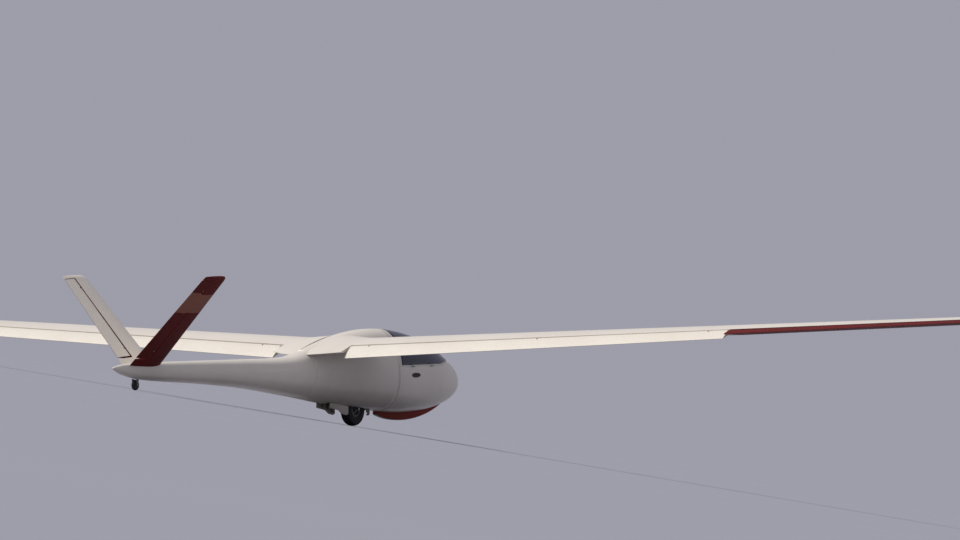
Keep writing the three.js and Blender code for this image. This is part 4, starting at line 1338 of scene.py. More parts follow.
def side_vent(hand, side):
    """A cabin air vent: an oval bezel with slats across its opening, which a black face on the skin closes as
    painted shade of the hole.
    """
    station, z = VENT["station"], VENT["z"]
    turns = [2 * math.pi * i / VENT["steps"] for i in range(VENT["steps"])]
    work = bmesh.new()
    rings = []
    for grow_by, out in ((0, -1), (0, 3), (-1.5, 4.6), (-5, 4.6), (-6.5, 3), (-6.5, 0.8)):
        a, b = VENT["length"] / 2 + grow_by, VENT["height"] / 2 + grow_by
        ring = [side_point(station + a * math.cos(t), z + b * math.sin(t), side, out) for t in turns]
        rings.append([work.verts.new(p) for p in ring])
    join_rings(work, rings)
    # a black face closes the opening: painted shade where the hole would be dark
    work.faces.new(rings[-1])
    bezel = work_piece(f"{hand}_vent_bezel", work, ["black_lacquer"])
    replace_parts(bezel, f"{hand}_side_vent")
    corners = ((0, 0), (20, 0), (0, 8))
    middle, behind, above = (side_point(station + s, z + rise, side, 1.6) for s, rise in corners)
    normal = (behind - middle).cross(above - middle)
    place = facing(middle, normal if normal.dot(LEFTWARD * side) > 0 else -normal, UP)
    bar = (2.2, VENT["height"] - 13, 4)
    slat_row(f"{hand}_vent_slats", place, 9, 72, VENT["length"] / 2 - 6, bar, "steel_fittings")


# Cockpit

# the cabin floor's top, and the thickness that the cabin's wall takes up
FLOOR_TOP, WALL = -572, 25


def cabin_half(station, z):
    """Half the width of the cabin inside its wall, at a station and height."""
    top, bottom, half, widest = body_row(station)
    reach = (top - widest if z > widest else widest - bottom) - WALL
    share = min(1.0, abs(z - widest) / reach)
    return (half - WALL) * (1 - share**SECTION_POWER) ** (1 / SECTION_POWER)


def tuck_in(piece):
    """Draws a cockpit piece's points in, where they would reach through the cabin's wall."""
    back = AIRFRAME.inverted()
    for vertex in piece.data.vertices:
        place = back @ vertex.co * 1000
        limit = cabin_half(-place.x, place.z)
        if abs(place.y) > limit:
            vertex.co = at(-place.x, math.copysign(limit, place.y), place.z)
    return piece


PANEL = {"station": 800, "depth": 26, "top": -34, "bottom": -300, "half_width": 205, "corner": 46}
# each dial's y, z and radius
DIALS = [(-110, -110, 40), (0, -100, 40), (110, -110, 40), (-62, -205, 40), (62, -205, 40), (0, -268, 24)]
GRIP_PROFILE = [(10, 0), (14, 2), (16.5, 10), (15, 24), (16.5, 38), (15, 54), (16.5, 70), (15.2, 86)]
GRIP_PROFILE += [(16.8, 98), (14, 107), (8, 111), (0, 112)]
# a half length so great that a row of slats stays straight
NO_OVAL = 10000


def rounded_outline(half_width, bottom, top, radius, steps=8):
    """A rounded rectangle as (y, z) points."""
    points = []
    for quarter, (across, up) in enumerate(((1, 1), (-1, 1), (-1, -1), (1, -1))):
        y = across * (half_width - radius)
        z = top - radius if up > 0 else bottom + radius
        for a in (math.radians(90 * quarter + 90 * i / steps) for i in range(steps + 1)):
            points.append((y + radius * math.cos(a), z + radius * math.sin(a)))
    return points


def add_slab(work, outline, front, rear):
    """Adds a plate to a bmesh that faces fore and aft: an outline of (y, z) points between two stations."""
    add_plate(work, [[at(s, y, z) for y, z in outline] for s in (front, rear)])


def build_panel():
    """The instrument panel on its pedestal, with six dials."""
    black, mark = "black_lacquer", "dial_white"
    work = bmesh.new()
    outline = rounded_outline(PANEL["half_width"], PANEL["bottom"], PANEL["top"], PANEL["corner"])
    rear = PANEL["station"] + PANEL["depth"]
    add_slab(work, outline, PANEL["station"], rear)
    pedestal = rounded_outline(70, FLOOR_TOP + 1, PANEL["bottom"] + 9, 10, 3)
    add_slab(work, pedestal, PANEL["station"] - 40, rear)
    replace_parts(round_edges(work_piece("panel_plate", work, [black]), 3), "instrument_panel")
    bezels, faces, marks, glass = (bmesh.new() for _ in range(4))
    for number, (y, z, r) in enumerate(DIALS, 1):
        place = facing(at(rear, y, z), AFT, UP)
        add_turned(bezels, place, [(r - 7, 0.4), (r - 5, 5), (r - 2, 7), (r, 5.5), (r, 0)], 48)
        add_turned(faces, place, [(r - 5, 0.3), (r - 5, 1.2), (0, 1.2)], 48)
        add_turned(glass, place, [(r - 6, 4.2), (r - 6, 4.8), (0, 5.0)], 48)
        above_face = place @ Matrix.Translation((0, 0, 0.0014))
        dial_ticks(f"dial_ticks_{number}", above_face, 12, r - 10, (5, 1.1, 0.3), mark)
        dial_ticks(f"dial_fine_ticks_{number}", above_face, 60, r - 8.4, (2.2, 0.5, 0.3), mark)
        needle = place @ Matrix.Rotation(1.1 * number - 0.2, 4, "Z") @ Matrix.Translation((0, 0, 0.0018))
        box_mesh(marks, needle, (-0.8, -5, 0), (0.8, r - 15, 0.4))
        add_turned(marks, needle, [(3.2, 0), (3.2, 0.8), (0, 1)], 16)
        ring = place @ Matrix.Rotation(math.radians(45), 4, "Z") @ Matrix.Translation((0, 0, 0.0002))
        bolt_ring(f"dial_screws_{number}", ring, 4, r + 5.5, 2.2, 1.1, "steel_fittings", sides=8)
    work_piece("dial_bezels", bezels, [black])
    work_piece("dial_faces", faces, ["dial_black"])
    work_piece("dial_marks", marks, [mark])
    work_piece("dial_glasses", glass, ["clear_glass"])
    shroud = bmesh.new()
    path = [at(rear + 16, y, z + 3) for y, z in outline if z > PANEL["top"] - PANEL["corner"] - 1]
    add_sweep(shroud, path, [(-22, -1.5), (22, -1.5), (22, 1.5), (-22, 1.5)], AFT)
    work_piece("panel_hood", shroud, ["black_leathercloth"])


def build_stick():
    """The stick with its grip, in a folded boot."""
    boot, stick = bmesh.new(), bmesh.new()
    folds = [(38, 0), (38, 3)]
    for i in range(5):
        r, h = 35 - 4.6 * i, 5 + 7 * i
        folds += [(r, h), (r - 5, h + 3), (r - 2.4, h + 6)]
    add_turned(boot, facing(at(950, 0, FLOOR_TOP + 0.4), UP), [*folds, (12, 42), (0, 42)], 40)
    shaft = [at(950, 0, -536), at(944, 0, -440), at(940, 0, -362)]
    add_sweep(stick, smooth_path(shaft, 5), round_section(11, 20))
    grip = facing(at(940, 0, -366), at(925, 0, -255) - at(940, 0, -365))
    add_turned(stick, grip, GRIP_PROFILE, 28)
    work_piece("stick_boot", boot, ["black_leathercloth"])
    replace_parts(work_piece("stick_and_grip", stick, ["black_lacquer"]), "control_stick")


def build_pedals():
    """Two ribbed pedals on their bars, and the bar that they stand on."""
    steel = "steel_fittings"
    pads, bars = bmesh.new(), bmesh.new()
    tilt = math.atan2(30, 155)
    for hand, side in reversed(HANDS):
        y = side * 95
        middle = Matrix.Translation(at(463, y, -467.5))
        place = middle @ AIRFRAME.to_3x3().to_4x4() @ Matrix.Rotation(tilt, 4, "Y")
        box_mesh(pads, place, (-6, -40, -78), (2, 40, 78))
        ribs = place @ Matrix.Translation((-0.0062, 0, 0)) @ Matrix.Rotation(math.pi / 2, 4, "Y")
        slat_row(f"{hand}_pedal_ribs", ribs, 7, 60, NO_OVAL, (6, 64, 2.4), steel)
        add_sweep(bars, [at(478, y, -560), at(476, y, -540), at(470, y, -500)], round_section(7))
    reach = min(139, cabin_half(478, -556) - 8)
    add_sweep(bars, [at(478, y, -556) for y in (-reach, 0, reach)], round_section(9, 20))
    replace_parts(round_edges(work_piece("pedal_pads", pads, [steel]), 1.5), "rudder_pedals")
    work_piece("pedal_bars", bars, [steel])


def build_flap_lever():
    """The flap lever on its notched quadrant at the left wall."""
    quadrant, lever = bmesh.new(), bmesh.new()
    box_mesh(quadrant, AIRFRAME @ Matrix.Translation((-1.03, 0, 0)), (-148, 238, -329), (148, 292, -301))
    block = tuck_in(work_piece("flap_quadrant", quadrant, ["black_lacquer"]))
    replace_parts(round_edges(block, 4), "flap_lever")
    add_sweep(lever, [at(1000, 250, -312), at(982, 243, -250), at(960, 235, -180)], round_section(6))
    knob = facing(at(960, 235, -196), at(945, 230, -140) - at(960, 235, -200))
    add_turned(lever, knob, [(7, 0), (12, 4), (14.5, 16), (13, 34), (14.5, 48), (10, 57), (0, 59)], 28)
    work_piece("flap_lever_arm", lever, ["red_enamel"])
    notches = AIRFRAME @ Matrix.Translation((-1.03, 0.262, -0.3006))
    slat_row("flap_lever_notches", notches, 6, 100, NO_OVAL, (5, 20, 1.4), "steel_fittings")


SEAT_TOP = [(1020, -515), (1180, -545), (1330, -540), (1420, -470), (1660, 20)]
SEAT_UNDER = [(1668, 14), (1430, -477), (1338, -552), (1180, -557), (1020, -527)]


def finer(outline):
    """The same outline with five steps between its points."""
    points = []
    for a, b in zip(outline, outline[1:]):
        points += [(a[0] + (b[0] - a[0]) * i / 5, a[1] + (b[1] - a[1]) * i / 5) for i in range(5)]
    return [*points, outline[-1]]


def build_seat():
    """The seat bucket, a formed pan with rolled side lips, on its two posts."""
    work = bmesh.new()
    add_prism(work, finer(SEAT_TOP) + finer(SEAT_UNDER), -212, 212)
    foot = [(1040, FLOOR_TOP + GAP), (1040, -527), (1180, -555), (1225, -555), (1225, FLOOR_TOP + GAP)]
    for side in (-1, 1):
        add_prism(work, foot, side * 150 - 12, side * 150 + 12)
        lip = [at(s, side * min(206, cabin_half(s, z + 4) - 7), z + 4) for s, z in finer(SEAT_TOP)]
        add_sweep(work, lip[1:-1], round_section(7, 12))
    pan = tuck_in(work_piece("seat_pan", work, ["cockpit_paint"]))
    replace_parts(round_edges(pan, 3), "seat_bucket")


# Cushions and harness

SEAT_SEAM = [(1317.4, -504), (1166, -505), (1004.25, -470)]
CUSHIONS = {
    # outline as (station, z); held counts its first edges that rest on the seat or the wall
    "seat_cushion": {
        "outline": [(1026, -516), (1180, -544), (1318, -538.9), *SEAT_SEAM],
        "half_width": 190,
        "held": 2,
        "rests": (0, 0, -1),
        "seam": SEAT_SEAM,
        "channels": (0.26, 0.5, 0.76),
    },
    "back_cushion": {
        "outline": [(1430, -455), (1657, 8), (1600, 30), (1378, -425)],
        "half_width": 190,
        "held": 1,
        "rests": (-0.898, 0, -0.44),
        "seam": [(1600, 30), (1378, -425)],
        "channels": (0.2, 0.4, 0.6, 0.8),
    },
    "headrest": {
        "outline": [(1679, 30), (1679, 150), (1600, 150), (1600, 30)],
        "half_width": 85,
        "held": 1,
        "rests": (-1, 0, 0),
        "seam": [(1600, 150), (1600, 30)],
        "channels": (),
    },
}


# how long the pads are blown up for
CLOTH_FRAMES = 20


def drawn_in(outline, held, by):
    """An outline of (station, z) points moved in on each edge; the held ones only clear what they rest on."""
    count = len(outline)
    turn = sum(a[0] * b[1] - b[0] * a[1] for a, b in zip(outline, outline[1:] + outline[:1]))
    inward = math.copysign(1, turn)
    lines = []
    for i in range(count):
        (s0, z0), (s1, z1) = outline[i], outline[(i + 1) % count]
        length = math.hypot(s1 - s0, z1 - z0)
        normal = (-(z1 - z0) / length * inward, (s1 - s0) / length * inward)
        step = GAP if i < held else by
        lines.append((s0 + normal[0] * step, z0 + normal[1] * step, s1 - s0, z1 - z0))
    corners = []
    for (ps, pz, ds, dz), (qs, qz, es, ez) in zip([lines[-1], *lines], lines):
        cross = ds * ez - dz * es
        t = ((qs - ps) * ez - (qz - pz) * es) / cross if abs(cross) >= 1e-6 else None
        corners.append((qs, qz) if t is None else (ps + ds * t, pz + dz * t))
    return corners


def rests_towards(name):
    """The direction in which a cushion lies against what it rests on."""
    return (AIRFRAME.to_3x3() @ Vector(CUSHIONS[name]["rests"])).normalized()


def inflate(piece, rests, pressure, cap):
    """Blows a pad up with cloth until its cover pulls tight; it doesn't sink into what it rests on."""
    before = [v.co.copy() for v in piece.data.vertices]
    cloth = modify(piece, "CLOTH")
    cloth.settings.use_pressure = True
    cloth.settings.uniform_pressure_force = pressure
    cloth.settings.effector_weights.gravity = 0
    cloth.point_cache.frame_start, cloth.point_cache.frame_end = 1, CLOTH_FRAMES
    scene = bpy.context.scene
    for number in range(1, CLOTH_FRAMES + 1):
        scene.frame_set(number)
    apply_modifiers(piece)
    scene.frame_set(1)
    for vertex, old in zip(piece.data.vertices, before):
        move = vertex.co - old
        if move.length > cap:
            move *= cap / move.length
        into = move.dot(rests)
        if into > 0:
            move -= rests * into
        vertex.co = old + move


def build_cushion(name):
    """A padded cushion: blown up with cloth, then sewn down along channels and piped round its front."""
    spec = CUSHIONS[name]
    work = bmesh.new()
    half = spec["half_width"] - 7
    add_prism(work, drawn_in(spec["outline"], spec["held"], 6), -half, half)
    piece = work_piece(f"{name}_padding", work, ["seat_cloth"], None)
    modify(piece, "BEVEL", width=0.007, segments=3)
    modify(piece, "REMESH", mode="VOXEL", voxel_size=0.006)
    apply_modifiers(piece)
    rests = rests_towards(name)
    inflate(piece, rests, pressure=4.0, cap=0.008)
    modify(piece, "SUBSURF", levels=1, render_levels=1)
    apply_modifiers(piece)
    seams = sew_channels(piece, spec, rests)
    piece.data.shade_smooth()
    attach(piece, "airframe")
    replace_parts(piece, name)
    skin = BVHTree.FromObject(piece, bpy.context.evaluated_depsgraph_get())
    if seams:
        stitch(name, [[settle(skin, p, rests, 0.0006) for p in line] for line in seams], 8, 0.8)
    pipe(name, skin, spec, rests, half)
    return skin


def seam_point(spec, share):
    """A place along a cushion's front profile, as (station, z)."""
    legs = list(zip(spec["seam"], spec["seam"][1:]))
    lengths = [math.dist(a, b) for a, b in legs]
    reach = share * sum(lengths)
    for (a, b), length in zip(legs, lengths):
        if reach <= length or (a, b) == legs[-1]:
            t = min(1.0, reach / length)
            return a[0] + (b[0] - a[0]) * t, a[1] + (b[1] - a[1]) * t
        reach -= length


def sew_channels(piece, spec, rests):
    """Pulls the cover in along seams that run across the cushion, and gives their lines."""
    count = len(piece.data.vertices)
    places, normals = np.empty(count * 3), np.empty(count * 3)
    piece.data.vertices.foreach_get("co", places)
    piece.data.vertices.foreach_get("normal", normals)
    places, normals = places.reshape(-1, 3), normals.reshape(-1, 3)
    down = np.array(rests)
    open_side = normals @ down < 0.3
    half = (spec["half_width"] - 16) / 1000
    lines = []
    for share in spec["channels"]:
        (s0, z0), (s, z), (s1, z1) = (seam_point(spec, share + d) for d in (-0.02, 0, 0.02))
        middle = at(s, 0, z)
        along = (at(s1, 0, z1) - at(s0, 0, z0)).normalized()
        off = np.abs((places - np.array(middle)) @ np.array(along)) / 0.015
        beside = np.abs((places - np.array(middle)) @ np.array(LEFTWARD))
        fade = np.clip((half + 0.012 - beside) / 0.02, 0, 1)
        depth = np.where(open_side & (off < 1), 0.0065 * (1 - off**2) ** 2 * fade, 0)
        places += depth[:, None] * down
        lines.append([middle + LEFTWARD * half * (i / 20 - 1) for i in range(41)])
    piece.data.vertices.foreach_set("co", places.ravel())
    piece.data.update()
    return lines


def settle(skin, point, rests, above):
    """A point laid on a cushion's cover from the side that it faces, a little above it."""
    hit, normal, _, _ = skin.ray_cast(point - rests * 0.08, rests, 0.16)
    return point if hit is None else hit + normal * above


def strip_frames(path, rests, closed):
    """Along a path over a cushion: each point, the direction across the path and the one off the cushion."""
    count = len(path)
    frames = []
    for i, point in enumerate(path):
        if closed:
            along = (path[(i + 1) % count] - path[i - 1]).normalized()
        else:
            along = (path[min(i + 1, count - 1)] - path[max(i - 1, 0)]).normalized()
        over = (-rests + along * rests.dot(along)).normalized()
        frames.append((point, along.cross(over), over))
    return frames


def strip_rings(work, frames, outline):
    """The rings of a strip, with an outline of (across, over) millimetres."""
    rings = []
    for point, across, over in frames:
        rings.append([work.verts.new(point + (across * a + over * b) / 1000) for a, b in outline])
    return rings


def pipe(name, skin, spec, rests, half):
    """A corded edge round the front of a cushion."""
    low, high = 0.015, 0.985
    shares = [i / 24 for i in range(24)]
    edge = [(low + (high - low) * t, half) for t in shares] + [(high, half - 2 * half * t) for t in shares]
    edge += [(high + (low - high) * t, -half) for t in shares] + [(low, 2 * half * t - half) for t in shares]
    path = []
    for share, y in edge:
        s, z = seam_point(spec, share)
        path.append(skin.find_nearest(at(s, y, z))[0])
    for _ in range(3):
        path = [(path[i - 1] + path[i] * 2 + path[(i + 1) % len(path)]) / 4 for i in range(len(path))]
    work = bmesh.new()
    rings = strip_rings(work, strip_frames(path, rests, True), round_section(2.6, 8))
    join_rings(work, [*rings, rings[0]])
    work_piece(f"{name}_piping", work, ["piping_cord"])


WEBBING = {"width": 45, "thick": 1.8, "above": 3.2}
# the left straps' middle lines, as (station, y, z)
SHOULDER_STRAP = [(1672, 99, 36), (1640, 99, 36), (1606, 98, 34), (1585, 95, 0), (1545, 87, -85)]
SHOULDER_STRAP += [(1490, 78, -195), (1430, 66, -320), (1395, 56, -395), (1350, 46, -446)]
SHOULDER_STRAP += [(1300, 33, -482), (1264, 20, -491)]
LAP_STRAP = [(1338, 203, -533), (1326, 199, -512), (1310, 180, -494), (1290, 130, -494), (1264, 70, -494)]
LAP_STRAP += [(1252, 34, -494)]
# the four bars of an adjuster, as (x, y) corners
LINK_BARS = [((-25, -16), (25, -11)), ((-25, 11), (25, 16)), ((-25, -11), (-21, 11)), ((21, -11), (25, 11))]
BUCKLE_PROFILE = [(31, 0), (33, 3), (33, 11), (30, 15), (22, 16.5), (20, 14.5), (9, 15), (0, 15.2)]


def strap(name, skin, places, rests):
    """A ribbon of harness webbing laid over the cushions along (station, y, z) places."""
    path = []
    for point in smooth_path([at(*p) for p in places], 10):
        hit, _, _, _ = skin.ray_cast(point - rests * 0.1, rests, 0.13)
        path.append(point if hit is None else hit - rests * WEBBING["above"] / 1000)
    for _ in range(4):
        inner = [(a + b * 2 + c) / 4 for a, b, c in zip(path, path[1:], path[2:])]
        path = [path[0], *inner, path[-1]]
    half, thick = WEBBING["width"] / 2, WEBBING["thick"] / 2
    outline = [(-half, -thick * 0.4), (-half + 1.5, -thick), (half - 1.5, -thick), (half, -thick * 0.4)]
    outline += [(half, thick * 0.4), (half - 1.5, thick), (-half + 1.5, thick), (-half, thick * 0.4)]
    work = bmesh.new()
    frames = strip_frames(path, rests, False)
    rings = strip_rings(work, frames, outline)
    join_rings(work, rings)
    work.faces.new(rings[0])
    work.faces.new(list(reversed(rings[-1])))
    work_piece(name, work, ["harness_webbing"])
    lines = []
    for side in (-1, 1):
        inset = side * (half - 4)
        lines.append([p + (across * inset + over * (thick + 0.3)) / 1000 for p, across, over in frames])
    stitch(name, lines, 6, 0.6)


def build_cushions():
    skins = {name: build_cushion(name) for name in CUSHIONS}
    build_harness(skins["seat_cushion"], skins["back_cushion"])


def build_harness(seat_skin, back_skin):
    """Four straps that meet in a round buckle on the seat cushion, with their adjusters."""
    steel = "steel_fittings"
    back, seat = rests_towards("back_cushion"), rests_towards("seat_cushion")
    for hand, side in HANDS:
        for name, skin, places, rests in (
            ("shoulder", back_skin, SHOULDER_STRAP, back),
            ("lap", seat_skin, LAP_STRAP, seat),
        ):
            strap(f"{hand}_{name}_strap", skin, [(s, side * y, z) for s, y, z in places], rests)
    hit, normal, _, _ = seat_skin.ray_cast(at(1240, 0, -440), seat, 0.2)
    work = bmesh.new()
    add_turned(work, facing(hit + normal * 0.001, normal), BUCKLE_PROFILE, 48)
    work_piece("harness_buckle", work, [steel])
    for number, y in enumerate((30, -30), 1):
        spot, up, _, _ = seat_skin.ray_cast(at(1255, y, -440), seat, 0.2)
        place = facing(spot + up * 0.0055, up)
        link = bmesh.new()
        for lows, highs in LINK_BARS:
            box_mesh(link, place, (*lows, -1.5), (*highs, 1.5))
        round_edges(work_piece(f"harness_link_{number}", link, [steel]), 0.8)


# Wheels and gear

WHEELS = {
    "main": {"station": 2183, "z": -576, "radius": 190, "width": 122, "rim": 92, "bore": 12.3},
    "tail": {"station": 6720, "z": -233, "radius": 55, "width": 40, "rim": 30, "bore": 5.3},
}
WHEELS["main"].update(steps=128, grooves=(-40, -20, 0, 20, 40))
WHEELS["tail"].update(steps=72, grooves=(-24, 24))
# the hub's section: distance out from its bore, or share of the rim, with the share of half its width
HUB_BOSS = [(0, 0.8), (17, 0.8), (20, 0.77), (24, 0.34), (28, 0.3)]
HUB_RIM = [(0.74, 0.3), (0.78, 0.34), (0.8, 0.66), (0.84, 0.7), (0.97, 0.7), (1, 0.66)]


def turned(name, profile, axle, steps, material, body):
    """A ring turned about the airframe's y axis; the profile is (radius, y) in millimetres."""
    station, z = axle
    points = []
    for a in (2 * math.pi * i / steps for i in range(steps)):
        points += [at(station + r * math.cos(a), y, z + r * math.sin(a)) for r, y in profile]
    count = len(profile)
    last = (steps - 1) * count
    faces = skin_faces(steps, count)
    faces += [(last + c, last + (c + 1) % count, (c + 1) % count, c) for c in range(count)]
    return mesh_piece(name, points, faces, [material], body=body, sharp=30)


def tyre_outline(wheel):
    """A round-shouldered tyre with plain walls and grooves round its tread."""
    half, rim = wheel["width"] / 2, wheel["rim"]
    crown = wheel["radius"] - half * 0.55
    outline = [(rim + GAP, -half * 0.72)]
    wall = (wheel["radius"] - rim) * 0.45
    for t in (0.1, 0.2, 0.3, 0.45, 0.6, 0.8, 1.0):
        outline.append((rim + wall * t, -half * (0.72 + 0.28 * math.sin(t * math.pi / 2))))
    for degrees in (-60 + 1.5 * i for i in range(81)):
        a = math.radians(degrees)
        dip = wheel["width"] * 0.035 if any(abs(degrees - g) < 1.7 for g in wheel["grooves"]) else 0
        outline.append((crown + (half * 0.55 - dip) * math.cos(a), (half * 0.98 - dip) * math.sin(a)))
    return outline + [(r, -y) for r, y in reversed(outline[:8])]


def pierce(piece, axle, circle, radius, count):
    """Cuts a ring of lightening holes through a wheel's web."""
    work = bmesh.new()
    station, z = axle
    for a in (2 * math.pi * (i + 0.5) / count for i in range(count)):
        foot = facing(at(station + circle * math.cos(a), -80, z + circle * math.sin(a)), LEFTWARD)
        add_turned(work, foot, [(radius, 0), (radius, 160)], 24)
    cut_away(piece, work)
    smooth(piece.data, 30)


def build_wheels():
    steel = "steel_fittings"
    for prefix, wheel in WHEELS.items():
        axle, body, steps = (wheel["station"], wheel["z"]), f"{prefix}_wheel", wheel["steps"]
        tyre = turned(f"{prefix}_tyre_moulded", tyre_outline(wheel), axle, steps, "tyre_rubber", body)
        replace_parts(tyre, f"{prefix}_tyre")
        half, rim, bore = wheel["width"] / 2, wheel["rim"], wheel["bore"]
        k = rim / WHEELS["main"]["rim"]
        hub_outline = [(bore + out * k, -half * share) for out, share in HUB_BOSS]
        hub_outline += [(rim * out, -half * share) for out, share in HUB_RIM]
        hub_outline += [(r, -y) for r, y in reversed(hub_outline)]
        # the hub's dark grey is painted shade over what is bright cast alloy
        hub = turned(f"{prefix}_hub_cast", hub_outline, axle, steps, "cast_alloy", body)
        pierce(hub, axle, rim * 0.6, rim * 0.1, 6)
        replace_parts(hub, f"{prefix}_hub")
        for hand, side in HANDS:
            outer, rim_face = (
                facing(at(axle[0], side * half * share, axle[1]), LEFTWARD * side) for share in (0.8, 0.7)
            )
            name = f"{prefix}_hub_{hand}"
            bolt_ring(f"{name}_bolts", outer, 6, (bore + 9 * k), 2.6 * k, 2.6 * k, steel, body)
            bolt_ring(f"{name}_rim_bolts", rim_face, 10, rim * 0.9, 4 * k, 3 * k, steel, body)
    work = bmesh.new()
    valve = facing(at(2183 + 66, -24, -576 + 20), -LEFTWARD)
    add_turned(work, valve, [(4, -8), (4, 12), (3, 13), (3, 22), (4, 22.5), (4, 29), (0, 30)], 16)
    work_piece("main_valve_stem", work, [steel], "main_wheel")


CHEEKS = {
    "main": {"top": -335.3, "half_top": 60, "half_foot": 24, "y": 68, "thick": 8, "nut": 19},
    "tail": {"top": -172, "half_top": 25, "half_foot": 12, "y": 25, "thick": 4, "nut": 9},
}
DOOR = [(2425, -470), (2425, -628), (2470, -642), (2560, -626), (2640, -584), (2820, -556), (2820, -450)]
DOOR_RIVETS = [(2440, -480), (2440, -618), (2475, -629), (2553, -614), (2634, -571), (2805, -544)]
# each rib's station and how far down it reaches
DOOR_RIBS = [(2500, -613), (2600, -578), (2710, -550)]


def build_forks():
    """The wheel forks with their axles and nuts."""
    for prefix, spec in CHEEKS.items():
        wheel = WHEELS[prefix]
        station, z = wheel["station"], wheel["z"]
        top, foot, reach = spec["half_top"], spec["half_foot"], spec["y"] + spec["thick"]
        outline = [(station - top, spec["top"]), (station + top, spec["top"])]
        for a in (math.radians(9 + 18 * i) for i in range(10)):
            outline.append((station + foot * math.cos(a), z - foot * math.sin(a)))
        cheeks, pins = bmesh.new(), bmesh.new()
        for side in (1, -1):
            add_prism(cheeks, outline, *sorted((side * spec["y"], side * reach)))
        if prefix == "main":
            bar = [(station - 60, -347), (station + 60, -347), (station + 60, -335.3), (station - 60, -335.3)]
            add_prism(cheeks, bar, -67.7, 67.7)
        fork = work_piece(f"{prefix}_fork_cheeks", cheeks, ["painted_steel"])
        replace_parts(round_edges(fork, 1.2), f"{prefix}_fork")
        radius, size = wheel["bore"] - 0.3, spec["nut"]
        add_turned(pins, facing(at(station, -reach, z), LEFTWARD), [(radius, 0), (radius, 2 * reach)], 32)
        hexagon = [(size, size * 0.08), (size, size * 0.26), (size * 0.9, size * 0.33), (0, size * 0.33)]
        for side in (1, -1):
            nut = facing(at(station, side * reach, z), LEFTWARD * side)
            add_turned(pins, nut, [(size * 1.15, 0.1), (size * 1.15, size * 0.08)], 32)
            add_turned(pins, nut, hexagon, 6)
        work_piece(f"{prefix}_axle_and_nuts", pins, ["steel_fittings"])


def build_doors():
    """The open doors behind the main wheel, riveted to their ribs."""
    white = "door_enamel"
    for hand, side in HANDS:
        door = side_plate(f"{hand}_door_skin", DOOR, *sorted((side * 80.7, side * 87.7)), white, 1.6)
        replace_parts(door, f"{hand}_gear_door")
        for face, y in (("outer", side * 88.2), ("inner", side * 80.2)):
            lines = [[at(s, y, z) for s, z in DOOR_RIVETS]]
            rivet_rows(f"{hand}_door_{face}_rivets", door, lines, white, spacing=0.03, radius=0.0024)
        ribs = bmesh.new()
        for s, foot in DOOR_RIBS:
            outline = [(s - 9, -485), (s + 9, -485), (s + 9, foot), (s - 9, foot)]
            add_prism(ribs, outline, *sorted((side * 73, side * 80.6)))
        round_edges(work_piece(f"{hand}_door_ribs", ribs, ["well_primer"]), 2)


# Stage

PHOTO_WIDTH, PHOTO_HEIGHT, SENSOR = 960, 540, 36.0


def build_stage():
    """A pale floor before an even backdrop, under one soft key light."""
    scene = bpy.context.scene
    settings = scene.sailplane_looks
    scene.world = bpy.data.worlds.new("pale_studio")
    scene.world.use_nodes = True
    background = scene.world.node_tree.nodes["Background"]
    background.inputs[0].default_value = (*settings.backdrop_colour, 1.0)
    background.inputs[1].default_value = 1.0
    scene.view_settings.view_transform = "Standard"
    material, tree, shader, place = new_material("studio_floor_paint")
    dim, bright = ((*(min(1.0, c * f) for c in settings.floor_colour), 1.0) for f in (0.98, 1.02))
    paint = add_mix(tree, add_noise(tree, place, 0.15, 2.0, 0.5), dim, bright)
    feed(tree, shader, {"Base Color": paint, "Roughness": 0.9, "Specular IOR Level": 0.1})
    work = bmesh.new()
    bmesh.ops.create_circle(work, cap_ends=True, segments=128, radius=settings.floor_radius)
    mesh = bpy.data.meshes.new("studio_floor")
    work.to_mesh(mesh)
    work.free()
    mesh.materials.append(material)
    add_object("studio_floor", mesh)
    light = bpy.data.lights.new("key_light", "SUN")
    light.energy = settings.key_strength
    light.angle = math.radians(12)
    light.color = (1.0, 0.97, 0.93)
    key = add_object("key_light", light)
    key.rotation_euler = Vector(settings.key_from).to_track_quat("Z", "Y").to_euler()
    place_camera()


def place_camera():
    """Stands the camera where the photograph was taken from: low, and off the tail on the right-hand side."""
    scene = bpy.context.scene
    settings = scene.sailplane_looks
    lens = bpy.data.cameras.new("camera")
    scene.camera = add_object("camera", lens)
    scale = settings.pixels_a_metre * settings.camera_distance
    lens.sensor_width = SENSOR
    lens.lens = scale / PHOTO_WIDTH * SENSOR
    lens.clip_start, lens.clip_end = 0.5, 500.0
    off, lift = settings.view_off_tail, settings.view_lift
    local = Vector((-math.cos(off) * math.cos(lift), -math.sin(off) * math.cos(lift), math.sin(lift)))
    back = (AIRFRAME.to_3x3() @ local).normalized()
    right = UP.cross(back).normalized()
    up = back.cross(right).normalized()
    eye = at(WHEELS["main"]["station"], 0, 0) + back * settings.camera_distance
    # the camera is turned, its lens not shifted, to bring the anchor to its own pixel in the photograph
    u = (settings.anchor_pixel[0] - PHOTO_WIDTH / 2) / scale
    v = (PHOTO_HEIGHT / 2 - settings.anchor_pixel[1]) / scale
    look = (back + right * u + up * v).normalized()
    right = up.cross(look).normalized()
    turn = Matrix((right, look.cross(right).normalized(), look)).transposed().to_4x4()
    scene.camera.matrix_world = Matrix.Translation(eye) @ turn


# The add-on's settings, operators and panel


def setting(name, description, default, **more):
    """A setting of the kind that its default is: a text, some numbers or one number."""
    texts = {"name": name, "description": description, "default": default}
    if isinstance(default, str):
        return bpy.props.StringProperty(**texts, **more)
    if isinstance(default, tuple):
        return bpy.props.FloatVectorProperty(size=len(default), **texts, **more)
    return bpy.props.FloatProperty(**texts, **more)


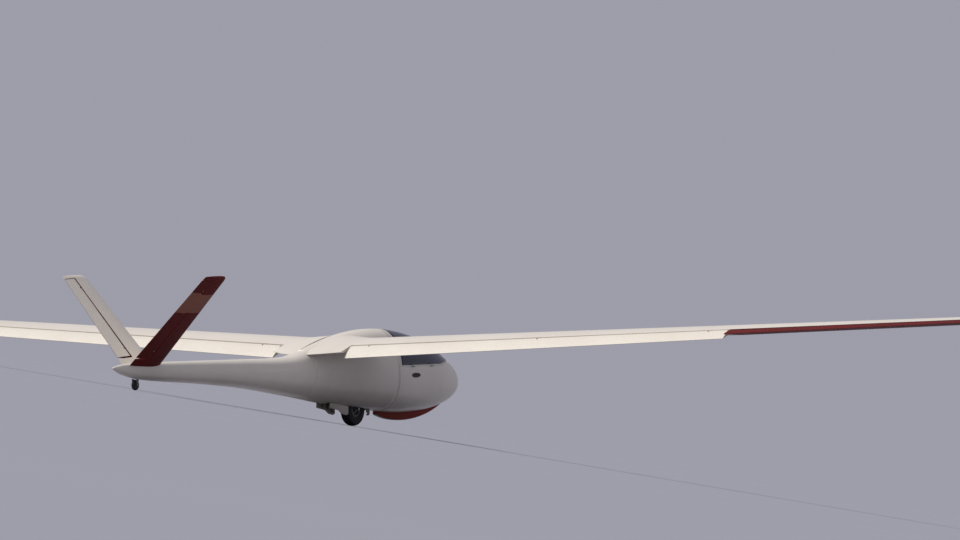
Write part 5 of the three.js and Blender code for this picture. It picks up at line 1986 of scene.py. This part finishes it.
class SailplaneLooks(bpy.types.PropertyGroup):
    """Colours and stage of the sailplane."""

    white: setting("White", "Main paint, as sRGB hex", "#ded7cb")
    red: setting("Red", "Paint of the under-surfaces, as sRGB hex", "#62110e")
    band: setting("Band", "Band on the tail, as sRGB hex", "#8e5b4b")
    rivet_spacing: setting("Rivet spacing", "From one rivet to the next", 0.045, unit="LENGTH")
    rivet_diameter: setting("Rivet diameter", "Across a rivet's head", 0.006, unit="LENGTH")
    backdrop_colour: setting("Backdrop", "Light and colour of the studio", (0.34, 0.34, 0.4), subtype="COLOR")
    floor_colour: setting("Floor", "Colour of the studio's floor", (0.284, 0.289, 0.333), subtype="COLOR")
    floor_radius: setting("Floor radius", "Radius of the floor", 150.0, unit="LENGTH")
    key_strength: setting("Key light", "Strength of the key light", 3.7)
    key_from: setting("Key from", "Direction that the key light comes from", (-0.35, 0.92, 1.0))
    pixels_a_metre: setting("Scale", "Pixels of the photograph to a metre at the fuselage", 92.0)
    camera_distance: setting("Distance", "Camera to fuselage", 100.0, unit="LENGTH")
    view_off_tail: setting("Off the tail", "View from straight behind", math.radians(30), subtype="ANGLE")
    view_lift: setting("Lift", "View above the fuselage's own level", math.radians(1.1), subtype="ANGLE")
    anchor_pixel: setting("Anchor", "Pixel over the main wheel, on the boom's top line", (352.6, 355.5))


def fill_materials():
    looks = bpy.context.scene.sailplane_looks
    # an enamel's last number, where given, is how much painted shade its downward faces take
    MATERIALS.update(
        white_enamel=enamel("ivory_enamel_on_sheet", looks.white, "#cfc7b8"),
        red_enamel=enamel("oxblood_enamel_on_sheet", looks.red, "#4f0e0b", 0.5, 0.0, 0.1, 0.05),
        tan_band=enamel("tan_enamel_on_sheet", looks.band, "#7f4f40", 0.5, 0.0, 0.1, 0.05),
        skid_enamel=enamel("scuffed_brick_enamel", "#8a2c22", "#6d3527", 0.6, 0.0, 0.1, 0.15),
        # the doors take a darker, duller copy of the ivory enamel
        door_enamel=enamel("scuffed_ivory_enamel", "#cfc8bb", "#a59d90", 0.45, 0.05),
        cockpit_paint=enamel("grey_cockpit_lacquer", "#8b8f94", "#7d8186", 0.5, 0.05),
        well_primer=matte("zinc_chromate_primer", "#6d7250", "#5b6044", 12.0, 0.75, 0.0005),
        tinted_canopy=tinted_acrylic("blue_tinted_acrylic", "#26306e", 0.9, 1.49),
        clear_glass=tinted_acrylic("float_glass", "#f2f6f5", 1.0, 1.52),
        steel_fittings=bare_metal("cadmium_plated_steel", "#8f8e8a", 0.35),
        painted_steel=matte("grey_painted_steel", "#5d6164", "#4c5053", 60.0, 0.5, 0.0002),
        # dark grey for the hubs: painted shade in place of bright cast alloy
        cast_alloy=matte("grey_enamelled_casting", "#55585b", "#404346", 14.0, 0.42, 0.0003),
        skid_steel=bare_metal("ground_worn_spring_steel", "#77736e", 0.45),
        tyre_rubber=matte("vulcanised_rubber", "#161617", "#26262a", 90.0, 0.8, 0.0006),
        black_lacquer=matte("black_wrinkle_lacquer", "#17181a", "#26282b", 240.0, 0.6, 0.0006),
        black_leathercloth=matte("black_leathercloth", "#1d1b1a", "#2c2927", 320.0, 0.55, 0.0007),
        dial_black=matte("printed_dial_card", "#0c0d0e", "#131416", 600.0, 0.7, 0.0001),
        dial_white=matte("dial_mark_paint", "#e9e7dc", "#dad7c8", 600.0, 0.6, 0.0001),
        seat_cloth=woven("woven_wool_upholstery", "#8a3a2a", "#5c241a", 3.0),
        harness_webbing=woven("nylon_harness_webbing", "#3c4658", "#28303e", 2.0),
        piping_cord=woven("cotton_piping_cord", "#4a1d15", "#351510", 2.0),
        seam_thread=matte("waxed_linen_thread", "#cbb893", "#a8946e", 500.0, 0.7, 0.0002),
    )


def dress_frame():
    """Gives each solid that stays visible the finish of the real part."""
    node = frame["nodes"]["cockpit_floor"]
    node.data.materials.clear()
    node.data.materials.append(MATERIALS["cockpit_paint"])


class PieceMaker:
    """What the operators share: each runs its steps in turn."""

    def execute(self, context):
        for step in self.steps:
            step()
        return {"FINISHED"}


class SAILPLANE_OT_belly(PieceMaker, bpy.types.Operator):
    """Builds the nose skid, the tow hook and the side vents"""

    bl_idname, bl_label = "sailplane.belly", "Skid, hook and vents"
    steps = (build_belly,)


class SAILPLANE_OT_controls(PieceMaker, bpy.types.Operator):
    """Builds the instrument panel, the stick, the pedals and the flap lever"""

    bl_idname, bl_label = "sailplane.controls", "Panel and controls"
    steps = (build_panel, build_stick, build_pedals, build_flap_lever)


class SAILPLANE_OT_seat(PieceMaker, bpy.types.Operator):
    """Builds the seat pan, its cushions and the harness"""

    bl_idname, bl_label = "sailplane.seat", "Seat and harness"
    steps = (build_seat, build_cushions)


class SAILPLANE_OT_gear(PieceMaker, bpy.types.Operator):
    """Builds the wheel forks and the gear doors"""

    bl_idname, bl_label = "sailplane.gear", "Forks and doors"
    steps = (build_forks, build_doors)


class SAILPLANE_OT_fuselage(PieceMaker, bpy.types.Operator):
    """Builds the fuselage skins and the wheel well"""

    bl_idname, bl_label = "sailplane.fuselage", "Fuselage"
    steps = (build_fuselage, build_well)


class SAILPLANE_OT_canopy(PieceMaker, bpy.types.Operator):
    """Builds the canopy's pane and frame"""

    bl_idname, bl_label = "sailplane.canopy", "Canopy"
    steps = (build_canopy,)


class SAILPLANE_OT_wings(PieceMaker, bpy.types.Operator):
    """Builds both wings with their flaps, ailerons, fillets and tips"""

    bl_idname, bl_label = "sailplane.wings", "Wings"
    steps = (build_wings,)


class SAILPLANE_OT_tail(PieceMaker, bpy.types.Operator):
    """Builds the V tail with its ruddervators"""

    bl_idname, bl_label = "sailplane.tail", "Tail"
    steps = (build_tails,)


class SAILPLANE_OT_wheels(PieceMaker, bpy.types.Operator):
    """Builds the tyres and hubs"""

    bl_idname, bl_label = "sailplane.wheels", "Wheels"
    steps = (build_wheels,)


class SAILPLANE_OT_finishes(PieceMaker, bpy.types.Operator):
    """Gives the solids that stay visible their finishes"""

    bl_idname, bl_label = "sailplane.finishes", "Finishes"
    steps = (dress_frame,)


class SAILPLANE_OT_stage(PieceMaker, bpy.types.Operator):
    """Sets up the floor, the light and the camera"""

    bl_idname, bl_label = "sailplane.stage", "Stage"
    steps = (build_stage,)


OPERATORS = (
    SAILPLANE_OT_stage,
    SAILPLANE_OT_fuselage,
    SAILPLANE_OT_canopy,
    SAILPLANE_OT_wings,
    SAILPLANE_OT_tail,
    SAILPLANE_OT_belly,
    SAILPLANE_OT_controls,
    SAILPLANE_OT_seat,
    SAILPLANE_OT_wheels,
    SAILPLANE_OT_gear,
    SAILPLANE_OT_finishes,
)


class SAILPLANE_PT_pieces(bpy.types.Panel):
    """Lists the sailplane's pieces and looks"""

    bl_label = "Sailplane"
    bl_idname = "SAILPLANE_PT_pieces"
    bl_space_type = "VIEW_3D"
    bl_region_type = "UI"
    bl_category = "Sailplane"

    def draw(self, context):
        for operator in OPERATORS:
            self.layout.operator(operator.bl_idname)
        looks = context.scene.sailplane_looks
        for name in SailplaneLooks.__annotations__:
            self.layout.prop(looks, name)


CLASSES = (SailplaneLooks, *OPERATORS, SAILPLANE_PT_pieces)


def register():
    for cls in CLASSES:
        bpy.utils.register_class(cls)
    bpy.types.Scene.sailplane_looks = bpy.props.PointerProperty(type=SailplaneLooks)


def unregister():
    del bpy.types.Scene.sailplane_looks
    for cls in reversed(CLASSES):
        bpy.utils.unregister_class(cls)


def main():
    register()
    fill_materials()
    for operator in OPERATORS:
        getattr(bpy.ops.sailplane, operator.bl_idname.split(".")[1])()
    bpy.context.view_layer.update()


if __name__ == "__main__":
    main()
